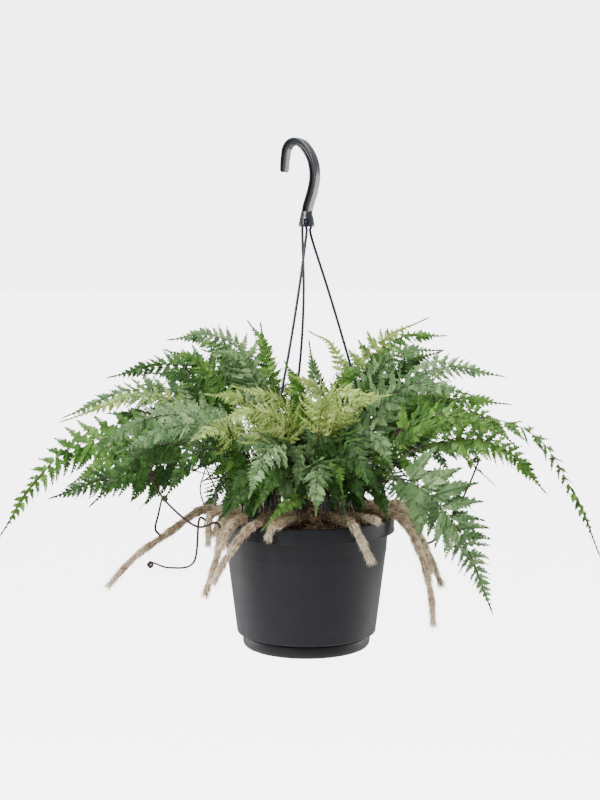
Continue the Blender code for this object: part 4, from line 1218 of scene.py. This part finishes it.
# Each frond's stem, the share of the stem's length where it grows, its half width, the bare
# share of its stalk, its lean in degrees and its green; then the points of its spine, to the
# right, to the back and above the rim. Lengths are in millimetres.
FRONDS = {
    "left_long": ("left_long", 0.16, 41, 0.42, 60, "mid",
        (-130, -12, 85), (-235, -10, 80), (-290, 0, 38), (-329, 0, -20)),
    "left_blue": ("left_long", 0.24, 37, 0.45, 50, "blue",
        (-120, 50, 110), (-190, 55, 130), (-266, 50, 101)),
    "left_low": ("left_short", 0.30, 41, 0.45, 70, "dark",
        (-115, -45, 60), (-185, -64, 56), (-262, -76, 31)),
    "left_back": ("back_left", 0.30, 41, 0.45, 35, "blue",
        (-125, 85, 78), (-200, 100, 76), (-272, 110, 45)),
    "left_high_back": ("back_left", 0.22, 39, 0.45, 40, "mid",
        (-100, 100, 110), (-170, 135, 120), (-240, 165, 104)),
    "left_high": ("left_short", 0.10, 37, 0.45, 75, "dark",
        (-90, 20, 140), (-150, 30, 160), (-214, 40, 146)),
    "left_top": ("left_long", 0.02, 32, 0.50, 75, "blue",
        (-62, 30, 155), (-100, 45, 190), (-150, 55, 186)),
    "back_left_top": ("back_left", 0.12, 32, 0.50, 60, "mid",
        (-74, 82, 140), (-102, 118, 172), (-134, 158, 180)),
    "middle_top": ("back_left", 0.02, 22, 0.50, 65, "mid",
        (-38, 60, 130), (-48, 84, 178), (-66, 114, 203)),
    "middle_upright": ("front_left_short", 0.04, 17, 0.60, 75, "mid",
        (-36, -5, 110), (-42, 0, 160), (-49, 5, 205)),
    "centre_young_left": ("front_left_long", 0.04, 24, 0.50, 50, "young",
        (-14, -60, 85), (-30, -92, 132), (-73, -122, 150)),
    "centre_young_right": ("front_inner", 0.04, 28, 0.50, 50, "young",
        (10, -56, 100), (28, -88, 140), (60, -124, 142)),
    "centre_young_low": ("front_left_short", 0.30, 26, 0.50, 50, "young",
        (-66, -72, 75), (-88, -110, 106), (-112, -150, 100)),
    "front_grey": ("front_left_long", 0.22, 31, 0.45, 60, "blue",
        (-26, -90, 82), (-42, -132, 84), (-56, -172, 48)),
    "front_hanging": ("front_inner", 0.20, 28, 0.45, 60, "blue",
        (10, -80, 66), (10, -108, 60), (9, -120, 22)),
    "front_leaf": ("front_inner", 0.45, 13, 0.35, 60, "mid",
        (-6, -90, 34), (-24, -108, 26), (-44, -118, 6)),
    "front_small": ("front_right", 0.10, 10, 0.45, 60, "dark",
        (30, -70, 40), (36, -86, 34), (40, -96, 10)),
    "front_dark": ("front_right", 0.02, 27, 0.45, 35, "dark",
        (28, -80, 90), (44, -122, 96), (58, -158, 60)),
    "right_rising": ("right_back", 0.02, 18, 0.50, 65, "young",
        (40, 20, 135), (78, 24, 184), (130, 30, 210)),
    "middle_back_light": ("back_right", 0.02, 18, 0.50, 65, "young",
        (40, 45, 130), (30, 56, 176), (4, 68, 194)),
    "right_blue": ("right_back", 0.12, 41, 0.42, 55, "blue",
        (85, 35, 120), (145, 45, 156), (214, 50, 146)),
    "right_back_top": ("back_right", 0.10, 37, 0.45, 60, "mid",
        (60, 85, 140), (100, 120, 182), (162, 160, 184)),
    "right_drooping": ("right_mid", 0.16, 27, 0.50, 20, "mid",
        (105, 0, 92), (180, 2, 106), (248, 4, 84), (290, 2, 20), (316, 0, -41)),
    "right_low": ("right_long", 0.16, 32, 0.50, 50, "mid",
        (95, -45, 66), (155, -56, 90), (205, -62, 80), (246, -66, 36)),
    "right_front": ("right_stub", 0.50, 49, 0.36, 80, "blue",
        (90, -80, 50), (124, -90, 40), (158, -96, -6), (188, -100, -80)),
    "right_dark": ("right_back", 0.30, 27, 0.50, 60, "dark",
        (110, 55, 70), (140, 66, 85), (176, 76, 90)),
    "back_long": ("back", 0.16, 44, 0.42, -20, "mid",
        (8, 130, 90), (0, 190, 100), (-12, 255, 60)),
    "back_right_long": ("back_right", 0.30, 44, 0.42, -15, "blue",
        (85, 115, 80), (130, 170, 94), (180, 225, 56)),
    "back_left_long": ("back_left", 0.45, 41, 0.45, -15, "dark",
        (-90, 120, 56), (-125, 180, 70), (-165, 235, 40)),
}
# More fronds of the same kind fill the crown and the spaces between the long ones. Those deep
# in and under the crown mostly get the dark green, as painted shade.
UNDERSTOREY = {
    "left_spray": ("left_short", 0.45, 26, 0.50, 70, "dark",
        (-110, -60, 76), (-160, -80, 82), (-220, -90, 26)),
    "left_dark_upper": ("back_left", 0.50, 28, 0.50, 60, "dark",
        (-112, 60, 84), (-158, 70, 100), (-222, 76, 102)),
    "left_light_tip": ("left_long", 0.05, 21, 0.50, 60, "young",
        (-108, -20, 100), (-166, -20, 132), (-258, -20, 104)),
    "left_dense_dark": ("left_short", 0.20, 30, 0.45, 70, "dark",
        (-90, -20, 94), (-122, -30, 148), (-164, -30, 156)),
    "left_lobed_top": ("left_long", 0.12, 28, 0.50, 70, "mid",
        (-84, 0, 102), (-114, 0, 162), (-150, 0, 178)),
    "left_blue_upper": ("back_left", 0.06, 28, 0.50, 65, "blue",
        (-56, 20, 112), (-76, 10, 164), (-110, 0, 178)),
    "left_tip_light": ("front_left_short", 0.02, 21, 0.55, 70, "blue",
        (-40, -20, 116), (-60, -30, 160), (-74, -30, 192)),
    "left_hanging_dark": ("front_left_short", 0.45, 28, 0.45, 75, "dark",
        (-74, -90, 76), (-112, -110, 82), (-142, -120, 38)),
    "left_hanging_blue": ("front_left_short", 0.15, 30, 0.45, 70, "blue",
        (-64, -70, 90), (-124, -90, 108), (-190, -100, 82)),
    "left_grey_wide": ("left_short", 0.10, 32, 0.45, 65, "blue",
        (-86, -30, 96), (-154, -40, 112), (-220, -40, 76)),
    "left_crown_leaf": ("front_left_long", 0.35, 13, 0.40, 70, "dark",
        (-50, -90, 40), (-62, -100, 40), (-82, -104, 18)),
    "left_mass_mid": ("left_long", 0.30, 28, 0.50, 70, "mid",
        (-124, -20, 72), (-186, -30, 76), (-250, -36, 38)),
    "centre_blue_left": ("front_left_long", 0.12, 28, 0.45, 75, "blue",
        (-22, -70, 80), (-46, -80, 92), (-84, -90, 82)),
    "centre_blue_right": ("front_inner", 0.10, 28, 0.45, 75, "blue",
        (16, -70, 84), (46, -80, 102), (80, -90, 76)),
    "centre_dark_low": ("front_inner", 0.30, 23, 0.40, 75, "dark",
        (-12, -80, 60), (-28, -100, 62), (-46, -110, 34)),
    "centre_dark_right": ("front_right", 0.15, 28, 0.40, 70, "dark",
        (28, -90, 72), (44, -100, 78), (72, -110, 42)),
    "centre_mid_up": ("front_inner", 0.02, 28, 0.45, 75, "mid",
        (-2, -40, 96), (-8, -44, 140), (-22, -50, 168)),
    "centre_mid_right": ("front_right", 0.04, 28, 0.45, 75, "mid",
        (24, -50, 108), (40, -60, 152), (66, -60, 166)),
    "centre_blue_mid": ("right_stub", 0.02, 28, 0.45, 75, "blue",
        (20, -50, 82), (16, -60, 114), (40, -70, 136)),
    "centre_fill_dark": ("front_left_long", 0.01, 28, 0.40, 75, "dark",
        (-18, -40, 76), (-32, -60, 100), (-68, -70, 80)),
    "centre_deep": ("back", 0.10, 32, 0.40, 80, "dark",
        (4, 30, 66), (-8, 30, 110), (-40, 30, 122)),
    "centre_deep_right": ("back_right", 0.10, 32, 0.40, 80, "dark",
        (26, 30, 66), (48, 30, 110), (92, 30, 110)),
    "centre_young_top": ("front_inner", 0.06, 30, 0.50, 60, "young",
        (12, -80, 102), (12, -110, 144), (-16, -130, 162)),
    "centre_young_mid": ("front_left_long", 0.08, 28, 0.50, 60, "young",
        (-18, -90, 92), (-44, -120, 124), (-90, -140, 118)),
    "centre_young_wide": ("front_right", 0.08, 30, 0.50, 60, "young",
        (24, -80, 92), (38, -110, 130), (80, -130, 142)),
    "centre_young_far_left": ("front_left_short", 0.12, 28, 0.50, 60, "young",
        (-46, -90, 92), (-64, -120, 134), (-98, -140, 144)),
    "right_blue_tall": ("back_right", 0.01, 19, 0.50, 75, "blue",
        (18, 30, 110), (8, 30, 154), (3, 30, 184)),
    "right_pale_top": ("right_back", 0.06, 26, 0.50, 70, "blue",
        (62, -10, 126), (94, -20, 174), (140, -30, 180)),
    "right_dark_small": ("right_mid", 0.02, 19, 0.50, 75, "dark",
        (56, -20, 116), (72, -30, 150), (82, -30, 172)),
    "right_dark_top": ("right_back", 0.04, 26, 0.50, 70, "dark",
        (68, 0, 124), (106, 0, 162), (142, 0, 176)),
    "right_big_blue": ("right_mid", 0.05, 34, 0.42, 65, "blue",
        (68, -30, 106), (108, -50, 146), (168, -60, 136)),
    "right_mid_wide": ("right_mid", 0.10, 32, 0.45, 60, "mid",
        (84, -20, 94), (140, -30, 128), (210, -40, 124)),
    "right_low_mid": ("right_long", 0.10, 30, 0.50, 60, "mid",
        (86, -50, 88), (142, -70, 116), (202, -80, 96)),
    "right_green_fall": ("right_mid", 0.25, 28, 0.50, 55, "mid",
        (112, 20, 90), (178, 30, 110), (228, 30, 72)),
    "right_fine_young": ("right_stub", 0.20, 21, 0.50, 70, "mid",
        (66, -60, 68), (102, -70, 90), (132, -80, 112)),
    "right_near_crown": ("right_stub", 0.10, 30, 0.40, 75, "blue",
        (40, -80, 76), (64, -100, 104), (88, -110, 64)),
    "right_crown_dark": ("right_long", 0.03, 28, 0.40, 75, "dark",
        (46, -50, 72), (70, -60, 88), (102, -64, 52)),
    "right_back_fill": ("right_back", 0.20, 30, 0.45, 60, "dark",
        (86, 40, 88), (126, 50, 120), (170, 60, 118)),
    "crown_left_dark": ("front_left_long", 0.20, 23, 0.30, 75, "dark",
        (-46, -84, 52), (-62, -96, 58), (-80, -100, 28)),
    "crown_left_mid": ("front_left_short", 0.35, 23, 0.30, 75, "mid",
        (-64, -80, 60), (-76, -90, 70), (-104, -96, 52)),
    "crown_centre_dark": ("front_inner", 0.15, 26, 0.30, 75, "dark",
        (-8, -76, 54), (-18, -84, 70), (-36, -96, 46)),
    "crown_centre_blue": ("front_inner", 0.12, 26, 0.30, 75, "blue",
        (3, -70, 58), (-4, -84, 76), (-12, -100, 42)),
    "crown_centre_mid": ("front_right", 0.12, 23, 0.30, 75, "mid",
        (18, -76, 54), (28, -84, 70), (36, -96, 40)),
    "crown_right_dark": ("right_stub", 0.15, 26, 0.30, 75, "dark",
        (40, -70, 50), (56, -80, 66), (74, -84, 38)),
    "crown_right_blue": ("right_long", 0.08, 26, 0.30, 75, "blue",
        (50, -50, 62), (72, -56, 76), (94, -60, 46)),
    "crown_right_mid": ("right_mid", 0.15, 23, 0.30, 75, "mid",
        (74, -10, 50), (94, -16, 66), (118, -20, 40)),
    "crown_deep_left": ("left_short", 0.15, 28, 0.30, 75, "dark",
        (-76, -30, 64), (-90, -36, 74), (-118, -40, 54)),
    "crown_deep_mid": ("back", 0.05, 30, 0.30, 80, "dark",
        (-8, 20, 56), (-24, 20, 78), (-48, 20, 62)),
    "crown_deep_mid_right": ("back", 0.12, 30, 0.30, 80, "dark",
        (12, 20, 62), (32, 20, 78), (50, 20, 56)),
    "crown_deep_right": ("back_right", 0.20, 30, 0.30, 80, "dark",
        (48, 30, 56), (70, 30, 72), (100, 30, 56)),
    "deep_low_a": ("left_short", 0.10, 30, 0.30, 80, "dark",
        (-58, -36, 44), (-68, -40, 50), (-90, -60, 6)),
    "deep_low_b": ("front_left_short", 0.10, 30, 0.30, 80, "dark",
        (-40, -30, 40), (-46, -40, 50), (-64, -70, 4)),
    "deep_low_c": ("back_left", 0.02, 32, 0.30, 85, "dark",
        (-18, 0, 40), (-26, -10, 52), (-40, -42, 3)),
    "deep_low_d": ("back", 0.02, 32, 0.30, 85, "dark",
        (-2, 0, 40), (-8, -10, 52), (-12, -46, 3)),
    "deep_low_e": ("back_right", 0.02, 32, 0.30, 85, "dark",
        (14, 0, 40), (20, -10, 52), (26, -46, 3)),
    "deep_low_f": ("right_back", 0.05, 32, 0.30, 85, "dark",
        (36, -10, 42), (44, -16, 52), (56, -44, 4)),
    "deep_low_g": ("right_mid", 0.05, 30, 0.30, 85, "dark",
        (56, -30, 40), (66, -36, 52), (84, -58, 6)),
    "apron_left": ("front_left_long", 0.15, 23, 0.30, 80, "dark",
        (-50, -80, 40), (-58, -88, 44), (-82, -96, 16)),
    "apron_left_mid": ("front_left_long", 0.10, 23, 0.30, 80, "mid",
        (-36, -78, 42), (-42, -86, 48), (-54, -94, 18)),
    "apron_centre": ("front_inner", 0.08, 26, 0.30, 80, "blue",
        (-16, -74, 42), (-20, -84, 52), (-24, -94, 24)),
    "apron_centre_dark": ("front_inner", 0.05, 23, 0.30, 80, "dark",
        (-3, -70, 42), (-4, -78, 52), (-8, -86, 24)),
    "apron_right": ("front_right", 0.08, 23, 0.30, 80, "dark",
        (20, -72, 42), (26, -80, 52), (30, -88, 24)),
    "apron_right_dark": ("right_stub", 0.10, 23, 0.30, 80, "dark",
        (40, -66, 40), (48, -74, 48), (58, -80, 24)),
    "rear_left": ("back_left", 0.35, 30, 0.42, -35, "mid",
        (-80, 100, 70), (-115, 155, 85), (-150, 205, 30)),
    "rear_mid_left": ("back", 0.30, 32, 0.42, -40, "blue",
        (-15, 120, 75), (-35, 175, 80), (-60, 225, 15)),
    "rear_mid_right": ("back", 0.22, 32, 0.42, -40, "mid",
        (30, 115, 75), (55, 170, 85), (75, 225, 25)),
    "rear_right": ("back_right", 0.40, 30, 0.42, -35, "dark",
        (85, 90, 65), (130, 140, 75), (175, 185, 15)),
    "rear_low_left": ("back_left", 0.55, 26, 0.40, -50, "dark",
        (-75, 95, 30), (-100, 130, 20), (-120, 160, -40)),
    "rear_low_mid": ("back", 0.50, 26, 0.40, -55, "dark",
        (10, 125, 35), (10, 160, 20), (5, 190, -45)),
    "rear_low_right": ("back_right", 0.60, 26, 0.40, -50, "blue",
        (80, 100, 30), (105, 130, 15), (125, 160, -45)),
    "rear_young": ("back", 0.05, 26, 0.48, -30, "young",
        (0, 70, 100), (-10, 110, 130), (-30, 160, 105)),
    "side_right": ("right_mid", 0.30, 28, 0.42, 5, "mid",
        (100, 10, 60), (150, 15, 75), (205, 20, 30)),
    "side_right_low": ("right_back", 0.45, 26, 0.42, 10, "dark",
        (105, 45, 35), (145, 60, 35), (190, 75, -10)),
    "side_left": ("left_long", 0.35, 28, 0.42, 5, "mid",
        (-110, 10, 65), (-155, 20, 75), (-210, 25, 30)),
    "side_left_low": ("back_left", 0.60, 26, 0.42, 10, "dark",
        (-110, 60, 35), (-150, 80, 35), (-190, 100, -10)),
    "centre_deep_left": ("back_left", 0.06, 32, 0.40, 80, "dark",
        (-30, 20, 60), (-46, 20, 100), (-76, 20, 126)),
}


def growing_point(rhizome, share):
    """A place on a stem's middle line, and the way out of the stem's top there."""
    line = rhizome_line(rhizome, 41)
    place = share * (len(line) - 1)
    i = min(int(place), len(line) - 2)
    point = line[i].lerp(line[i + 1], place - i)
    ahead = (line[i + 1] - line[i]).normalized()
    up = Vector((0.0, 0.0, 1.0))
    out = (up - ahead * up.dot(ahead)).normalized()
    return point, out


def growing_route(rhizome, share, rise, points):
    """From inside the stem, straight out of it for a short rise, then along the points."""
    root, out = growing_point(rhizome, share)
    route = [root + out * (RHIZOME_RADIUS * 0.5), root + out * (RHIZOME_RADIUS + rise)]
    return route + [RIM + Vector([p / 1000 for p in point]) for point in points]


FROND_RISE = 0.0183
BLADE_SPREAD = 1.14
FIRST_FROND_SEED = 500
for number, (name, entry) in enumerate((FRONDS | UNDERSTOREY).items()):
    rhizome, share, half_width, bare, lean, colour, *points = entry
    route = growing_route(rhizome, share, FROND_RISE, points)
    width = half_width / 1000 * BLADE_SPREAD
    materials = [LEAVES[colour], STALKS[colour]]
    seed = FIRST_FROND_SEED + number
    full = FULLNESS[colour]
    frond = leafy_frond("frond_leaf_" + name, route, bare, width, lean, seed, materials, full)
    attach(frond, "root")
    if name in FRONDS:
        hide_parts("frond_" + name)

# ---- Croziers ----
# Young fronds that are still rolled up: thin dark stalks that grow out of the furry stems and
# end in a tight curl, with the unopened leaf as a row of knobs along it.
CROZIER_RADIUS = 0.0014
CROZIER_RISE = 0.007
CROZIER_STEPS = 60
CROZIER_SIDES = 9
CURL_RADIUS = 0.0031
CURL_STEPS = 55
CURL_TURN = 12.0
CURL_DRIFT = 0.0006
# Stem, share of its length, way of the curl and the stalk's points in millimetres.
CROZIERS = {
    "left_upright": ("left_long", 0.62, 1, (-160, 0, 0), (-156, 0, 18)),
    "left_hanging": ("left_short", 0.75, -1, (-120, -28, -46), (-145, -30, -52), (-165, -30, -46)),
    "left_tall": ("front_left_short", 0.75, 1, (-115, -70, 0), (-145, -70, 25), (-162, -70, 52)),
    "right_tall": ("right_mid", 0.70, -1, (152, -10, -10), (172, -12, 30), (184, -12, 60)),
    "right_upright": ("right_long", 0.05, 1, (62, -22, 40), (80, -26, 70), (96, -28, 96)),
}
crozier_brown = stalk_brown("crozier_brown", (0.050, 0.022, 0.016), (0.030, 0.016, 0.012))
for name, (rhizome, share, way, *points) in CROZIERS.items():
    line = smooth_line(growing_route(rhizome, share, CROZIER_RISE, points), CROZIER_STEPS)
    ahead = (line[-1] - line[-2]).normalized()
    axis = Vector((0.0, 1.0, 0.0)) * way
    across = axis.cross(ahead).normalized()
    ahead = across.cross(axis)
    middle = line[-1] + across * CURL_RADIUS
    radii = [CROZIER_RADIUS * (1.0 - 0.25 * i / CROZIER_STEPS) for i in range(CROZIER_STEPS)]
    for k in range(1, CURL_STEPS + 1):
        angle = math.radians(CURL_TURN * k)
        radius = CURL_RADIUS * (1.0 - 0.80 * k / CURL_STEPS)
        drift = axis * (CURL_DRIFT * k / CURL_STEPS)
        line.append(middle + (ahead * math.sin(angle) - across * math.cos(angle)) * radius + drift)
        knob = CROZIER_RADIUS * (0.95 + 0.22 * math.sin(k * 0.9))
        radii.append(knob * (1.0 - 0.2 * k / CURL_STEPS))
    corners, faces = tube(line, radii, CROZIER_SIDES)
    tints = tones_for(len(corners), 0.5)
    tints[:, 1] = np.repeat(np.arange(len(line)) / (len(line) - 1), CROZIER_SIDES)
    crozier = gather("crozier_curl_" + name, [(corners, faces, 0, tints)], [crozier_brown])
    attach(crozier, "root")
    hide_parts("crozier_" + name)
